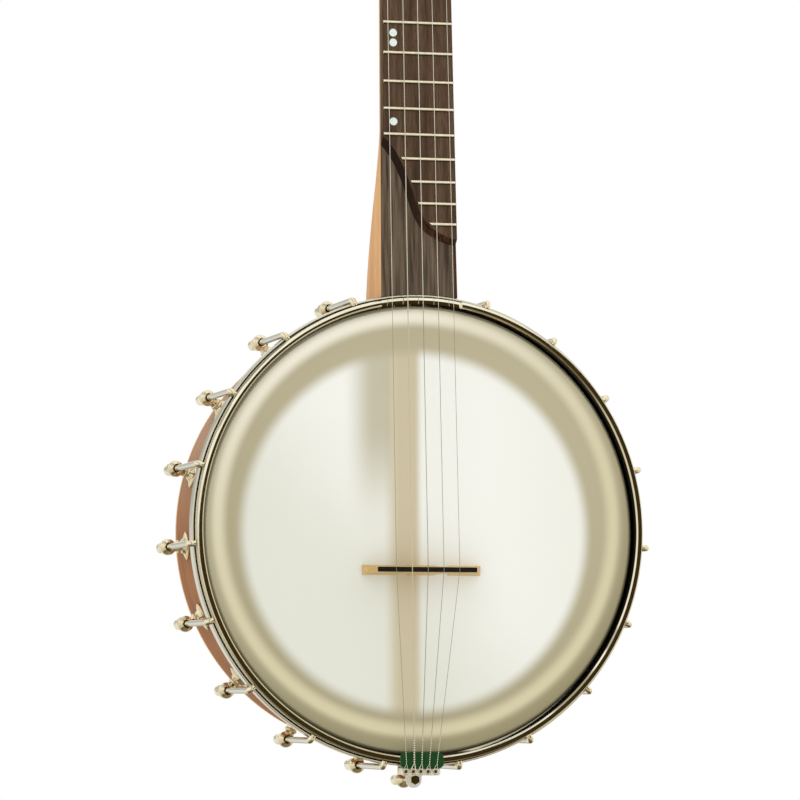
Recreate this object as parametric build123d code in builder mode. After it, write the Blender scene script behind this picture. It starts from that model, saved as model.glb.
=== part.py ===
"""Open-back five-string banjo, every sub-part at its real size in millimetres.

Frame: the origin lies on the pot's axis in the plane of the head. +Z runs up the neck,
-Y is the front (playing) side, +Y is the open back and +X is the treble side.
"""
import os
from math import acos, atan2, cos, degrees, hypot, pi, radians, sin, sqrt, tan

from build123d import *

os.makedirs("parts", exist_ok=True)

# ---------------------------------------------------------------- pot: rim, head and hoops
RIM_OUTER_R = 139.7          # 11 inch pot
RIM_WALL = 19.0
RIM_BACK_Y = 84.6            # back edge of the rim, from the head plane
RIM_CAP_THICKNESS = 1.6
RIM_FRONT_GAP = 2.2          # the rim's front face lies this far behind the head
TONE_RING_WIRE_R = 3.2
HEAD_THICKNESS = 0.35
HEAD_CROWN_GAP = 4.4         # the head turns down this far outside the rim
HEAD_CROWN_ROUND = 2.2
HEAD_FLANGE = 2.6            # width of the head's turned edge, gripped by the flesh hoop
FLESH_HOOP_WIDTH = 4.6
FLESH_HOOP_HEIGHT = 4.8
FLESH_HOOP_FRONT_Y = 6.1
CAP_ROUND = 0.7

HOOP_FRONT_Y = -6.8
HOOP_LENGTH = 12.7
HOOP_GAP = 0.9               # between the head's crown and the hoop
HOOP_WALL = 4.2              # thickness of the raised front wall
HOOP_GROOVE_WIDTH = 1.0
HOOP_GROOVE_DEPTH = 3.0
HOOP_LIP_Y = -1.0            # front of the lip outside the groove
HOOP_LIP_WIDTH = 1.15
HOOP_BEVEL = 1.1             # on the wall's inner front edge
HOOP_EASE = 0.5              # on its outer front edge
HOOP_LIP_EASE = 0.3
NOTCH_HALF_WIDTH = 27.0      # gap in the hoop for the strings and neck
NOTCH_DEPTH = 3.5

# ---------------------------------------------------------------- brackets
BRACKET_COUNT = 18
NECK_GAP_DEG = 34.4          # angle between the two brackets beside the neck
HOOK_WIRE_D = 4.0
SHOE_BALL_D = 10.6
SHOE_BALL_OUT = 12.6         # ball's centre from the rim's outside; the hooks lean in to it
SHOE_Y = 56.5
SHOE_FLAT = 4.7              # half distance between the ball's two flats
SHOE_FOOT_LENGTH = 18.3
SHOE_FOOT_WIDTH = 14.5
SHOE_FOOT_EDGE = 1.0         # thickness of the foot at its edge
SHOE_FOOT_THICKNESS = 2.4
SHOE_FOOT_CROWN = 10.5       # length of the foot's flat top
SHOE_STEM_R = 3.3
SHOE_COLLAR_R = 4.7
SHOE_COLLAR_END = 3.6        # these ends lie outside the rim
SHOE_RIDGE_R = 4.2
SHOE_RIDGE_START = 5.0
SHOE_RIDGE_END = 6.6
SHOE_THREAD = 7.0            # length of the bolt's thread in the stem
SHOE_BOLT_D = 4.0
SHOE_BOLT_HEX = 7.0
SHOE_BOLT_HEAD = 2.8
WASHER_D = 10.0
WASHER_THICKNESS = 1.0
HOOK_NUT_HEX = 8.0
HOOK_NUT_COLLAR = 4.4
HOOK_NUT_LENGTH = 16.5
HOOK_NUT_BODY_R = 3.5
HOOK_NUT_WAIST_R = 2.9
HOOK_NUT_WAIST = 1.2         # length of the waist between collar and body
HOOK_NUT_END = 5.0           # solid end of the nut behind its bore
THREAD_END_GAP = 0.5
HOOK_BEND_R = 2.3
HOOK_TIP_TRIM = 0.2

# ---------------------------------------------------------------- dowel stick and tail end
DOWEL_WIDTH = 16.0
DOWEL_DEPTH = 18.0
DOWEL_Y = 36.0               # depth of the dowel's centre line
DOWEL_TENON = 32.0           # length glued into the heel, from the rim's outside
BRACE_WALL = 5.0
BRACE_LENGTH = 6.0
BRACE_FROM_RIM = 7.0
BRACE_CORNER_R = 2.5
BRACE_SCREW_D = 4.0
BRACE_SCREW_LUG = 1.6        # metal round each screw
BRACE_SCREW_HEAD = 3.0       # the head's height, and its distance from the brace
BRACE_SCREW_HEX = 6.4
DOWEL_CHAMFER = 1.0
END_BOLT_D = 5.0
END_BOLT_THREAD = 9.0        # length of the end bolt outside the rim
END_BOLT_REACH = 34.0        # depth of the end bolt inside the dowel
TAIL_BOLT_DROP = 19.9        # tail bolt's axis below the rim's outside
TAIL_BOLT_D = 4.0
TAIL_BOLT_HEX = 5.5
TAIL_BOLT_HEAD = 3.2
TAIL_FOOT_R = 7.0
TAIL_FOOT_THICKNESS = 2.2
TAIL_STEM_R = 4.2
TAIL_RIDGE_R = 5.2
TAIL_RIDGE_START = 4.0
TAIL_RIDGE_END = 6.0
TAIL_TAB_Y = 14.0
TAIL_PLATE = 1.3
TAIL_HALF_WIDTH = 12.9
TAIL_LIP_X = -1.5            # centre of the lip, which is bent off centre
TAIL_TAB_HALF_WIDTH = 5.2
TAIL_POST_R = 1.5
TAIL_POST_SPACING = 4.95
TAIL_POST_OUT = 3.15         # post row's distance outside the hoop
TAIL_POST_ROW_X = -2.6       # centre of the post row
TAIL_POST_LENGTH = 3.75
TAIL_POST_HEAD = 0.55        # thickness of a post's head
TAIL_POST_HEAD_LIP = 0.6
TAIL_PLATE_OUT = 0.95        # plate's distance outside the hoop
TAIL_LIP_BACK = 2.2          # lip's distance behind the string loops
TAIL_LIP_BELOW = 2.4         # lip below the post row
TAIL_LIP_CORNER_R = 1.4
TAIL_LOOP_TURN = 30.0        # degrees round the post, from its top, at which a string leaves it
TAIL_SIDE = 7.0              # straight side of the plate
TAIL_STRING_Y = -8.5         # depth at which the string loops leave the posts
FELT_THICKNESS = 0.9
FELT_HALF_WIDTH = 14.5
FELT_X = -1.2
FELT_POST_GAP = 0.4
FELT_OVERHANG = 3.1          # width of the felt inside the hoop

# ---------------------------------------------------------------- bridge and strings
SCALE_LENGTH = 666.75        # 26 1/4 inch
BRIDGE_Z = -25.75
BRIDGE_HEIGHT = 15.9
BRIDGE_FOOT_SPAN = 78.6
BRIDGE_TOP_SPAN = 66.0
BRIDGE_CAP_HEIGHT = 2.6
BRIDGE_TOP_THICKNESS = 3.1
BRIDGE_FOOT_THICKNESS = 6.4
BRIDGE_FOOT_HEIGHT = 2.4
BRIDGE_ARCH_HEIGHT = 7.4
BRIDGE_ARCH_WIDTH = 9.0
BRIDGE_ARCH_X = 13.5
BRIDGE_CENTRE_X = 0.7
BRIDGE_STRING_SPACING = 10.6
STRING_R = {1: 0.16, 2: 0.19, 3: 0.22, 4: 0.32, 5: 0.16}
STRING_BEND_R = 3.0
TWIST_LENGTH = 15.0
TWIST_WIDTH = 1.7            # radius of the twisted end, in string radii
NOTCH_OPENING = 4.0          # height that a notch is cut open towards the front
FIT = 0.05                   # close clearance between mating pieces

# ---------------------------------------------------------------- neck and fretboard
NECK_REF_GAP = 0.3           # the neck is set out from a line this far above the rim
FRETBOARD_Y = -4.81          # fretboard surface at that line
NECK_LEAN = 2.38             # degrees the neck leans back
NECK_HALF_WIDTH = 25.2       # at that line
NECK_TAPER = 0.0093          # half width lost per millimetre up the neck
FRETBOARD_THICKNESS = 5.5
NUT_WIDTH = 34.9
NUT_THICKNESS = 5.0
NUT_HEIGHT = 2.3
NUT_STRING_SPACING = 9.27
NUT_STRING_HEIGHT = 1.5
NECK_ROUND = 15.5            # depth of the neck's rounded back under the fretboard
NECK_SHOULDER = 0.6          # straight side under the fretboard
HEEL_LENGTH = 118.0
HEEL_SIDE = 28.0             # straight side gained at the foot of the heel
HEEL_ROUND = 17.0            # rounded depth gained at the foot of the heel
HEEL_EASE = 1.3
HEEL_CLEARANCE = 0.4
HEEL_TRIM = 3.0              # length of the heel cut away by the pot
FRETBOARD_END_GAP = 0.2      # outside the hoop
FRET_COUNT = 19
FRET_WIDTH = 2.3
FRET_HEIGHT = 1.1
FRET_INSET = 0.5
SCOOP_DEPTH = 4.3
SCOOP_COVE = 3.4             # the wall's foot lies this far down and across from its edge
SCOOP_CURVE = [(-27, 116), (-12, 97.7), (-4.2, 77.5), (4.7, 58), (14.7, 50.8), (27, 47)]
DOT_D = 5.2
DOT_FROM_EDGE = 7.2
DOT_PAIR = 6.4               # spacing of the double dot at the octave
DOT_THICKNESS = 1.2
SHOULDER_START = 7.0         # above the fifth fret
SHOULDER_LENGTH = 36.0
FIFTH_NUT_D = 2.8
FIFTH_NUT_ABOVE = 3.4        # above the fifth fret
FIFTH_STRING_FROM_EDGE = 1.3
FIFTH_STRING_HEIGHT = 2.6
TRUSS_ROD_D = 6.0
TRUSS_ROD_LENGTH = 430.0
TRUSS_ROD_COVER = 1.2        # wood between the rod and the fretboard
TRUSS_ROD_OUT = 8.0          # the rod's end past the nut

# ---------------------------------------------------------------- peghead and tuners
PEGHEAD_TILT = 14.0          # degrees back from the neck
PEGHEAD_THICKNESS = 13.0
OVERLAY_THICKNESS = 2.0
FACE_DROP = 1.8              # peghead's face below the fretboard's surface at the nut
VOLUTE_WIDTH = 0.8           # share of the peghead's waist
VOLUTE_DEPTH = 2.5
VOLUTE_RISE = 4.0            # volute's end below the peghead's back
PEGHEAD_LOWER_HALF = 33.0
PEGHEAD_WAIST_HALF = 28.5
PEGHEAD_UPPER_HALF = 35.5
PEGHEAD_LENGTH = 146.0
PEGHEAD_SHOULDER_Y = 116.0
PEGHEAD_CREST = (18.46, 137.97)  # point on the rounded top
LOWER_PEG_Y = 38.0
LOWER_PEG_X = 22.0
UPPER_PEG_Y = 108.0
UPPER_PEG_X = 24.0
COVER_LENGTH = 34.0
COVER_HALF_WIDTH = 8.0
COVER_THICKNESS = 1.4
COVER_START = 1.0            # from the nut
COVER_SIDE = 7.0             # straight side of the cover
COVER_SHOULDER = 0.55        # half width where the cover draws in, as a share
COVER_SCREW_R = 1.6
COVER_SCREW_HEAD = 0.9
COVER_SCREWS = (4.0, 30.0)   # distances up the face
POCKET_LENGTH = 18.0
POCKET_WIDTH = 9.0
POCKET_DEPTH = 10.0

GEAR_MODULE = 0.4
SUN_TEETH = 12
PLANET_TEETH = 12
RING_TEETH = SUN_TEETH + 2 * PLANET_TEETH
GEAR_WIDTH = 4.4
GEAR_BACKLASH = 0.82         # tooth thickness as a share of half the circular pitch
GEAR_ADDENDUM = 0.8          # in modules
GEAR_DEDENDUM = 1.15
PRESSURE_ANGLE = 21.0
END_PLAY = 0.3
HOUSING_WALL = 1.1
HOUSING_FLOOR = 1.3
CARRIER_THICKNESS = 1.6
POST_R = 3.0
POST_WAIST_R = 2.5
POST_HEIGHT = 19.0           # above the peghead's face
POST_RIM = 1.0               # rounded-down tip of the post
WAIST_START = 0.4            # the waist begins this far before the first turn
WAIST_END = 4.0              # and ends this far past the last one
WINDING_WIDTH = 1.4          # thickness of the turns, in string radii
PIN_R = 0.8
BUSHING_R = 4.7
PEG_SHAFT_R = 2.0
KNOB_R = 10.0
KNOB_LENGTH = 13.0
KNOB_GAP = 0.5
KNOB_PROFILE = [(0.5, 0), (0.5, 2.5), (0.88, 4.5), (1, 7), (1, 10), (0.86, 12.2), (0.6, 13)]
PEG_NUT_HEX = 12.0
PEG_NUT_THICKNESS = 2.4
PEG_WASHER_R = 7.44
PEG_WASHER_THICKNESS = 0.8
BUSHING_END = 3.6            # above the peghead's face
CARRIER_CLEARANCE = 0.7      # between the carrier and the ring's teeth, in modules
WINDING_TURNS = 5
WINDING_HEIGHT = 5.5         # first turn above the face that the post comes out of
FIFTH_PEG_ABOVE = 24.0       # above the fifth fret
FIFTH_PEG_DEPTH = 10.4       # below the fretboard's surface
FIFTH_CAGE = 12.0            # open length of the fifth peg's cage, where its string winds
FIFTH_SEAT = 2.6             # the peg's flange lies this far inside the neck's edge
FIFTH_LEAN = 15.0            # degrees the fifth peg leans up the neck
FIFTH_WINDING = -10.4        # first turn, from the flange's seat
FIFTH_SHANK_R = 3.6
FIFTH_SHANK_LENGTH = 14.0
FIFTH_FLANGE = 1.4
FIFTH_FLANGE_R = 4.8
FIFTH_CAGE_BAR = 1.3
FIFTH_CAGE_BAR_WIDTH = 3.1
FIFTH_CAGE_TURNS = (10, 250)     # degrees round the peg of the cage's two bars
FIFTH_SPOTFACE = 8.0
PRESS_GAP = 0.02
CUTTER = 60.0                # reach of a cut that goes right through


def keep(piece, label):
    """Label a finished sub-part and write it to its own STEP file."""
    piece.part.label = label
    export_step(piece.part, f"parts/{label}.step")


def ring(points):
    """Turn a closed outline of (radius, depth) points about the pot's axis."""
    with BuildSketch(Plane.XY) as outline:
        with BuildLine():
            Polyline(*points, close=True)
        make_face()
    revolve(outline.sketch, axis=Axis.Y)


def radial(angle, radius, depth):
    """Plane square to the pot's radius at an angle from +Z, facing outwards."""
    out = Vector(sin(radians(angle)), 0, cos(radians(angle)))
    return Plane(out * radius + Vector(0, depth, 0), x_dir=(0, 1, 0), z_dir=out)


def disc(plane, radius, low, high, mode=Mode.ADD):
    """Cylinder on a plane's normal, from one height to another."""
    with BuildSketch(plane.offset(low)) as circle:
        Circle(radius)
    extrude(circle.sketch, amount=high - low, mode=mode)


def hexagon(plane, across_flats, low, high):
    """Hexagonal prism on a plane's normal, from one height to another."""
    with BuildSketch(plane.offset(low)) as outline:
        RegularPolygon(across_flats / 2, 6, major_radius=False)
    extrude(outline.sketch, amount=high - low)


# ================================================================ the pot
rim_inner_r = RIM_OUTER_R - RIM_WALL
crown_r = RIM_OUTER_R + HEAD_CROWN_GAP
hoop_inner_r = crown_r + HOOP_GAP
hoop_wall_r = hoop_inner_r + HOOP_WALL
tone_seat_y = HEAD_THICKNESS + 2 * TONE_RING_WIRE_R
tone_seat_r = RIM_OUTER_R - 2 * TONE_RING_WIRE_R - 2 * FIT
cap_front_y = RIM_BACK_Y - RIM_CAP_THICKNESS
flesh_back_y = FLESH_HOOP_FRONT_Y + FLESH_HOOP_HEIGHT
flesh_inner_r = crown_r + FIT
hoop_back_y = HOOP_FRONT_Y + HOOP_LENGTH
groove_outer_r = hoop_wall_r + HOOP_GROOVE_WIDTH
hoop_outer_r = groove_outer_r + HOOP_LIP_WIDTH
hook_r = hoop_outer_r + HOOK_WIRE_D / 2 + 4 * FIT
bracket_step = (360 - NECK_GAP_DEG) / (BRACKET_COUNT - 1)
bracket_angles = [NECK_GAP_DEG / 2 + bracket_step * k for k in range(BRACKET_COUNT)]
tail_z = -(RIM_OUTER_R + TAIL_BOLT_DROP)

# Laminated wooden rim, rebated for the tone ring, bored for the brackets,
# mortised for the dowel stick at the neck and drilled for the end bolt.
with BuildPart() as rim:
    ring([
        (rim_inner_r, RIM_FRONT_GAP), (tone_seat_r, RIM_FRONT_GAP), (tone_seat_r, tone_seat_y),
        (RIM_OUTER_R, tone_seat_y), (RIM_OUTER_R, cap_front_y), (rim_inner_r, cap_front_y),
    ])
    for angle in bracket_angles:
        disc(radial(angle, 0, SHOE_Y), SHOE_BOLT_D / 2 + 3 * FIT, rim_inner_r - 2, RIM_OUTER_R + 2,
             Mode.SUBTRACT)
    disc(radial(180, 0, DOWEL_Y), END_BOLT_D / 2 + 2 * FIT, rim_inner_r - 2, RIM_OUTER_R + 2,
         Mode.SUBTRACT)
    with BuildSketch(radial(0, rim_inner_r - 4, DOWEL_Y)):
        Rectangle(DOWEL_DEPTH + 2 * FIT, DOWEL_WIDTH + 2 * FIT)
    extrude(amount=RIM_WALL + 8, mode=Mode.SUBTRACT)
keep(rim, "rim")

# Pale cap glued on the rim's back edge.
with BuildPart() as rim_cap:
    ring([
        (rim_inner_r, cap_front_y), (RIM_OUTER_R, cap_front_y),
        (RIM_OUTER_R, RIM_BACK_Y), (rim_inner_r, RIM_BACK_Y),
    ])
    fillet(rim_cap.edges().group_by(Axis.Y)[-1], radius=CAP_ROUND)
keep(rim_cap, "rim_cap")

# Rolled brass tone ring in the rim's rebate; the head bears on its front.
with BuildPart() as tone_ring:
    with BuildSketch(Plane.XY):
        with Locations((RIM_OUTER_R - TONE_RING_WIRE_R, tone_seat_y - TONE_RING_WIRE_R)):
            Circle(TONE_RING_WIRE_R - FIT)
    revolve(axis=Axis.Y)
keep(tone_ring, "tone_ring")

# Polyester head: flat face, rounded crown, short wall and turned edge.
head_wall_r = crown_r - HEAD_THICKNESS
head_edge_y = FLESH_HOOP_FRONT_Y + FLESH_HOOP_HEIGHT / 2
with BuildPart() as head:
    with BuildSketch(Plane.XY):
        with BuildLine():
            Polyline(
                (0, 0), (crown_r - HEAD_CROWN_ROUND, 0), (crown_r, HEAD_CROWN_ROUND),
                (crown_r, head_edge_y), (crown_r + HEAD_FLANGE, head_edge_y),
                (crown_r + HEAD_FLANGE, head_edge_y + HEAD_THICKNESS),
                (head_wall_r, head_edge_y + HEAD_THICKNESS), (head_wall_r, HEAD_CROWN_ROUND),
                (crown_r - HEAD_CROWN_ROUND, HEAD_THICKNESS), (0, HEAD_THICKNESS), close=True,
            )
        make_face()
        turned_down = crown_r - 1.5 * HEAD_CROWN_ROUND
        crown = [v for v in vertices() if v.X > turned_down and v.Y < 1.5 * HEAD_CROWN_ROUND]
        fillet(crown, radius=HEAD_CROWN_ROUND / 2)
    revolve(axis=Axis.Y)
keep(head, "head")

# Flesh hoop: square metal ring with an inside slot that grips the head's edge.
with BuildPart() as flesh_hoop:
    flesh_outer_r = flesh_inner_r + FLESH_HOOP_WIDTH
    slot_r = crown_r + HEAD_FLANGE + FIT
    ring([
        (flesh_inner_r, FLESH_HOOP_FRONT_Y), (flesh_outer_r, FLESH_HOOP_FRONT_Y),
        (flesh_outer_r, flesh_back_y), (flesh_inner_r, flesh_back_y),
        (flesh_inner_r, head_edge_y + HEAD_THICKNESS + FIT), (slot_r, head_edge_y + HEAD_THICKNESS + FIT),
        (slot_r, head_edge_y - FIT), (flesh_inner_r, head_edge_y - FIT),
    ])
keep(flesh_hoop, "flesh_hoop")

# Grooved tension hoop: bevelled raised wall, groove for the hooks, outer lip,
# and a notch under the strings where the neck meets the pot.
with BuildPart() as tension_hoop:
    groove_y = HOOP_LIP_Y + HOOP_GROOVE_DEPTH
    ring([
        (hoop_inner_r, hoop_back_y), (hoop_inner_r, HOOP_FRONT_Y + HOOP_BEVEL),
        (hoop_inner_r + HOOP_BEVEL, HOOP_FRONT_Y), (hoop_wall_r - HOOP_EASE, HOOP_FRONT_Y),
        (hoop_wall_r, HOOP_FRONT_Y + HOOP_EASE), (hoop_wall_r, groove_y),
        (groove_outer_r, groove_y), (groove_outer_r, HOOP_LIP_Y + HOOP_LIP_EASE),
        (groove_outer_r + HOOP_LIP_EASE, HOOP_LIP_Y), (hoop_outer_r - HOOP_LIP_EASE, HOOP_LIP_Y),
        (hoop_outer_r, HOOP_LIP_Y + HOOP_LIP_EASE), (hoop_outer_r, hoop_back_y - HOOP_LIP_EASE),
        (hoop_outer_r - HOOP_LIP_EASE, hoop_back_y),
    ])
    with BuildSketch(Plane.XZ.offset(-(HOOP_FRONT_Y + NOTCH_DEPTH))):
        with Locations((0, RIM_OUTER_R)):
            Rectangle(2 * NOTCH_HALF_WIDTH, CUTTER)
    extrude(amount=NOTCH_DEPTH + 2, mode=Mode.SUBTRACT)
keep(tension_hoop, "tension_hoop")

# ================================================================ the brackets
ball_r = RIM_OUTER_R + SHOE_BALL_OUT
hook_leg_y = HOOP_LIP_Y - HOOK_WIRE_D / 2 - 4 * FIT
hook_lean = atan2(hook_r - ball_r, SHOE_Y - hook_leg_y)
hook_line = Plane((0, SHOE_Y, ball_r), x_dir=(1, 0, 0), z_dir=(0, cos(hook_lean), -sin(hook_lean)))
nut_seat = hook_line.offset(SHOE_FLAT)
hook_end = SHOE_FLAT + HOOK_NUT_LENGTH - HOOK_NUT_END - THREAD_END_GAP
tip_inner_r = hoop_wall_r + 3 * FIT
tip_outer_r = groove_outer_r - 3 * FIT
top = radial(0, 0, SHOE_Y)


def flatted_ball(line):
    """Ball of a shoe or hanger, centred on a hook's or bolt's line, with a flat at each end."""
    with BuildPart() as ball:
        with Locations(line):
            Sphere(SHOE_BALL_D / 2)
        with BuildSketch(line.offset(-SHOE_FLAT)):
            Circle(SHOE_BALL_D)
        extrude(amount=2 * SHOE_FLAT, mode=Mode.INTERSECT)
    return ball.part


def leaf(plane, length, width):
    """Leaf outline on a plane, its two points across the plane's own x direction."""
    with BuildSketch(plane) as outline:
        with BuildLine():
            ThreePointArc((0, -length / 2), (width / 2, 0), (0, length / 2))
            ThreePointArc((0, length / 2), (-width / 2, 0), (0, -length / 2))
        make_face()
    return outline.sketch


# One shoe: crowned leaf-shaped foot on the rim, ridged stem and a flatted ball bored for the hook.
with BuildPart() as shoe:
    share = SHOE_FOOT_CROWN / SHOE_FOOT_LENGTH
    foot_edge = top.offset(RIM_OUTER_R + SHOE_FOOT_EDGE)
    extrude(leaf(foot_edge, SHOE_FOOT_LENGTH, SHOE_FOOT_WIDTH), amount=-SHOE_FOOT_EDGE - 1)
    loft([
        leaf(foot_edge, SHOE_FOOT_LENGTH, SHOE_FOOT_WIDTH),
        leaf(top.offset(RIM_OUTER_R + SHOE_FOOT_THICKNESS), SHOE_FOOT_CROWN, SHOE_FOOT_WIDTH * share),
    ], ruled=True)
    with BuildSketch(Plane.XZ.offset(-SHOE_Y - SHOE_FOOT_WIDTH)):
        Circle(RIM_OUTER_R + FIT)
    extrude(amount=2 * SHOE_FOOT_WIDTH, mode=Mode.SUBTRACT)
    disc(top, SHOE_COLLAR_R, RIM_OUTER_R + 1, RIM_OUTER_R + SHOE_COLLAR_END)
    disc(top, SHOE_STEM_R, RIM_OUTER_R + SHOE_COLLAR_END, ball_r - SHOE_BALL_D / 4)
    disc(top, SHOE_RIDGE_R, RIM_OUTER_R + SHOE_RIDGE_START, RIM_OUTER_R + SHOE_RIDGE_END)
    add(flatted_ball(hook_line))
    disc(hook_line, HOOK_WIRE_D / 2 + 3 * FIT, -SHOE_BALL_D, SHOE_BALL_D, Mode.SUBTRACT)
    disc(top, SHOE_BOLT_D / 2 + FIT, RIM_OUTER_R, RIM_OUTER_R + SHOE_THREAD + THREAD_END_GAP,
         Mode.SUBTRACT)

with BuildPart() as bracket_shoes:
    for angle in bracket_angles:
        add(shoe.part.rotate(Axis.Y, angle))
keep(bracket_shoes, "bracket_shoes")

# One hex bolt with its washer, from inside the rim into the shoe's stem.
washer_r = sqrt(rim_inner_r**2 - (WASHER_D / 2) ** 2)
with BuildPart() as shoe_bolt:
    disc(top, WASHER_D / 2, washer_r - WASHER_THICKNESS, washer_r)
    hexagon(top, SHOE_BOLT_HEX, washer_r - WASHER_THICKNESS - SHOE_BOLT_HEAD, washer_r - WASHER_THICKNESS)
    disc(top, SHOE_BOLT_D / 2, washer_r - WASHER_THICKNESS, RIM_OUTER_R + SHOE_THREAD)

with BuildPart() as shoe_bolts:
    for angle in bracket_angles:
        add(shoe_bolt.part.rotate(Axis.Y, angle))
keep(shoe_bolts, "shoe_bolts")

# One hook: round wire leaning in to its shoe, bent over towards the hoop, its
# flattened tip in the groove.
with BuildPart() as hook:
    with BuildLine(Plane.YZ) as wire:
        FilletPolyline(
            (SHOE_Y + hook_end * cos(hook_lean), ball_r - hook_end * sin(hook_lean)),
            (hook_leg_y, hook_r), (hook_leg_y, tip_outer_r - HOOK_TIP_TRIM),
            radius=HOOK_BEND_R,
        )
    with BuildSketch(hook_line.offset(hook_end)):
        Circle(HOOK_WIRE_D / 2)
    sweep(path=wire.line)
    with BuildSketch(radial(0, tip_inner_r, hook_leg_y)):
        with Locations(((groove_y - hook_leg_y) / 2, 0)):
            Rectangle(groove_y - hook_leg_y - 4 * FIT, HOOK_WIRE_D - 2 * HOOK_TIP_TRIM)
    extrude(amount=tip_outer_r - tip_inner_r)

with BuildPart() as hook_bolts:
    for angle in bracket_angles:
        add(hook.part.rotate(Axis.Y, angle))
keep(hook_bolts, "hook_bolts")


def cap_nut(plane):
    """Closed nut on a plane: hex collar, round body and domed end, with a blind bore."""
    hexagon(plane, HOOK_NUT_HEX, 0, HOOK_NUT_COLLAR)
    body_start, dome_centre = HOOK_NUT_COLLAR + HOOK_NUT_WAIST, HOOK_NUT_LENGTH - HOOK_NUT_BODY_R
    disc(plane, HOOK_NUT_WAIST_R, HOOK_NUT_COLLAR, body_start)
    disc(plane, HOOK_NUT_BODY_R, body_start, dome_centre)
    with Locations(plane.offset(dome_centre)):
        Sphere(HOOK_NUT_BODY_R)
    disc(plane, HOOK_WIRE_D / 2 + FIT, 0, HOOK_NUT_LENGTH - HOOK_NUT_END, Mode.SUBTRACT)


# Eighteen bracket nuts behind the shoes and a like nut on the tail bolt.
tail_ball_back_y = DOWEL_Y + SHOE_FLAT
with BuildPart() as bracket_nut:
    cap_nut(nut_seat)

with BuildPart() as tail_nut:
    cap_nut(Plane((0, tail_ball_back_y + FIT, tail_z), z_dir=(0, 1, 0)))

with BuildPart() as hook_nuts:
    for angle in bracket_angles:
        add(bracket_nut.part.rotate(Axis.Y, angle))
    add(tail_nut.part)
keep(hook_nuts, "hook_nuts")

# ================================================================ dowel stick and tail end
dowel_top_z = RIM_OUTER_R + DOWEL_TENON
dowel_foot_z = -sqrt(rim_inner_r**2 - (DOWEL_WIDTH / 2) ** 2)

# Square dowel stick from the heel's mortise across the pot to the tail of the rim.
with BuildPart() as dowel_stick:
    with BuildSketch(Plane.XY.offset(dowel_foot_z)):
        with Locations((0, DOWEL_Y)):
            Rectangle(DOWEL_WIDTH, DOWEL_DEPTH)
    extrude(amount=dowel_top_z - dowel_foot_z)
    chamfer(dowel_stick.edges().filter_by(Axis.Z), length=DOWEL_CHAMFER)
    disc(radial(180, 0, DOWEL_Y), END_BOLT_D / 2 + FIT, -dowel_foot_z - END_BOLT_REACH - 1, RIM_OUTER_R,
         Mode.SUBTRACT)
keep(dowel_stick, "dowel_stick")

# Neck brace: a metal yoke round the dowel, pushed off the rim by two screws.
brace_z = rim_inner_r - BRACE_FROM_RIM - BRACE_LENGTH
brace_screw_x = DOWEL_WIDTH / 2 + BRACE_SCREW_D
with BuildPart() as neck_brace:
    with BuildSketch(Plane.XY.offset(brace_z)):
        with Locations((0, DOWEL_Y)):
            RectangleRounded(2 * brace_screw_x, DOWEL_DEPTH + 2 * BRACE_WALL, BRACE_CORNER_R)
        with Locations((-brace_screw_x, DOWEL_Y), (brace_screw_x, DOWEL_Y)):
            Circle(BRACE_SCREW_D / 2 + BRACE_SCREW_LUG)
            Circle(BRACE_SCREW_D / 2 + FIT, mode=Mode.SUBTRACT)
        with Locations((0, DOWEL_Y)):
            Rectangle(DOWEL_WIDTH + 2 * FIT, DOWEL_DEPTH + 2 * FIT, mode=Mode.SUBTRACT)
    extrude(amount=BRACE_LENGTH)
keep(neck_brace, "neck_brace")

brace_screw_top = sqrt(rim_inner_r**2 - (brace_screw_x + BRACE_SCREW_D / 2) ** 2)
with BuildPart() as brace_screws:
    for x in (-brace_screw_x, brace_screw_x):
        axis = Plane((x, DOWEL_Y, 0), z_dir=(0, 0, 1))
        disc(axis, BRACE_SCREW_D / 2, brace_z - BRACE_SCREW_HEAD, brace_screw_top)
        hexagon(axis, BRACE_SCREW_HEX, brace_z - 2 * BRACE_SCREW_HEAD, brace_z - BRACE_SCREW_HEAD)
keep(brace_screws, "brace_screws")

# Tail hanger: a ball like a bracket shoe's on a round stem and foot, bored for the tail bolt.
tail = radial(180, 0, DOWEL_Y)
with BuildPart() as tail_hanger:
    disc(tail, TAIL_FOOT_R, RIM_OUTER_R - 1, RIM_OUTER_R + TAIL_FOOT_THICKNESS)
    with BuildSketch(Plane.XZ.offset(-DOWEL_Y - TAIL_FOOT_R)):
        Circle(RIM_OUTER_R + TAIL_RIDGE_START)
        Circle(RIM_OUTER_R + FIT, mode=Mode.SUBTRACT)
    extrude(amount=2 * TAIL_FOOT_R, mode=Mode.INTERSECT)
    disc(tail, TAIL_STEM_R, RIM_OUTER_R + 1, -tail_z - SHOE_BALL_D / 4)
    disc(tail, TAIL_RIDGE_R, RIM_OUTER_R + TAIL_RIDGE_START, RIM_OUTER_R + TAIL_RIDGE_END)
    tail_line = Plane((0, DOWEL_Y, tail_z), x_dir=(1, 0, 0), z_dir=(0, 1, 0))
    add(flatted_ball(tail_line))
    disc(tail_line, TAIL_BOLT_D / 2 + 3 * FIT, -SHOE_BALL_D, SHOE_BALL_D, Mode.SUBTRACT)
    disc(tail, END_BOLT_D / 2 + FIT, RIM_OUTER_R, RIM_OUTER_R + END_BOLT_THREAD + THREAD_END_GAP,
         Mode.SUBTRACT)
keep(tail_hanger, "tail_hanger")

# Stud from the hanger's stem through the rim into the end of the dowel.
with BuildPart() as end_bolt:
    disc(tail, END_BOLT_D / 2, -dowel_foot_z - END_BOLT_REACH, RIM_OUTER_R + END_BOLT_THREAD)
keep(end_bolt, "end_bolt")

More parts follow.
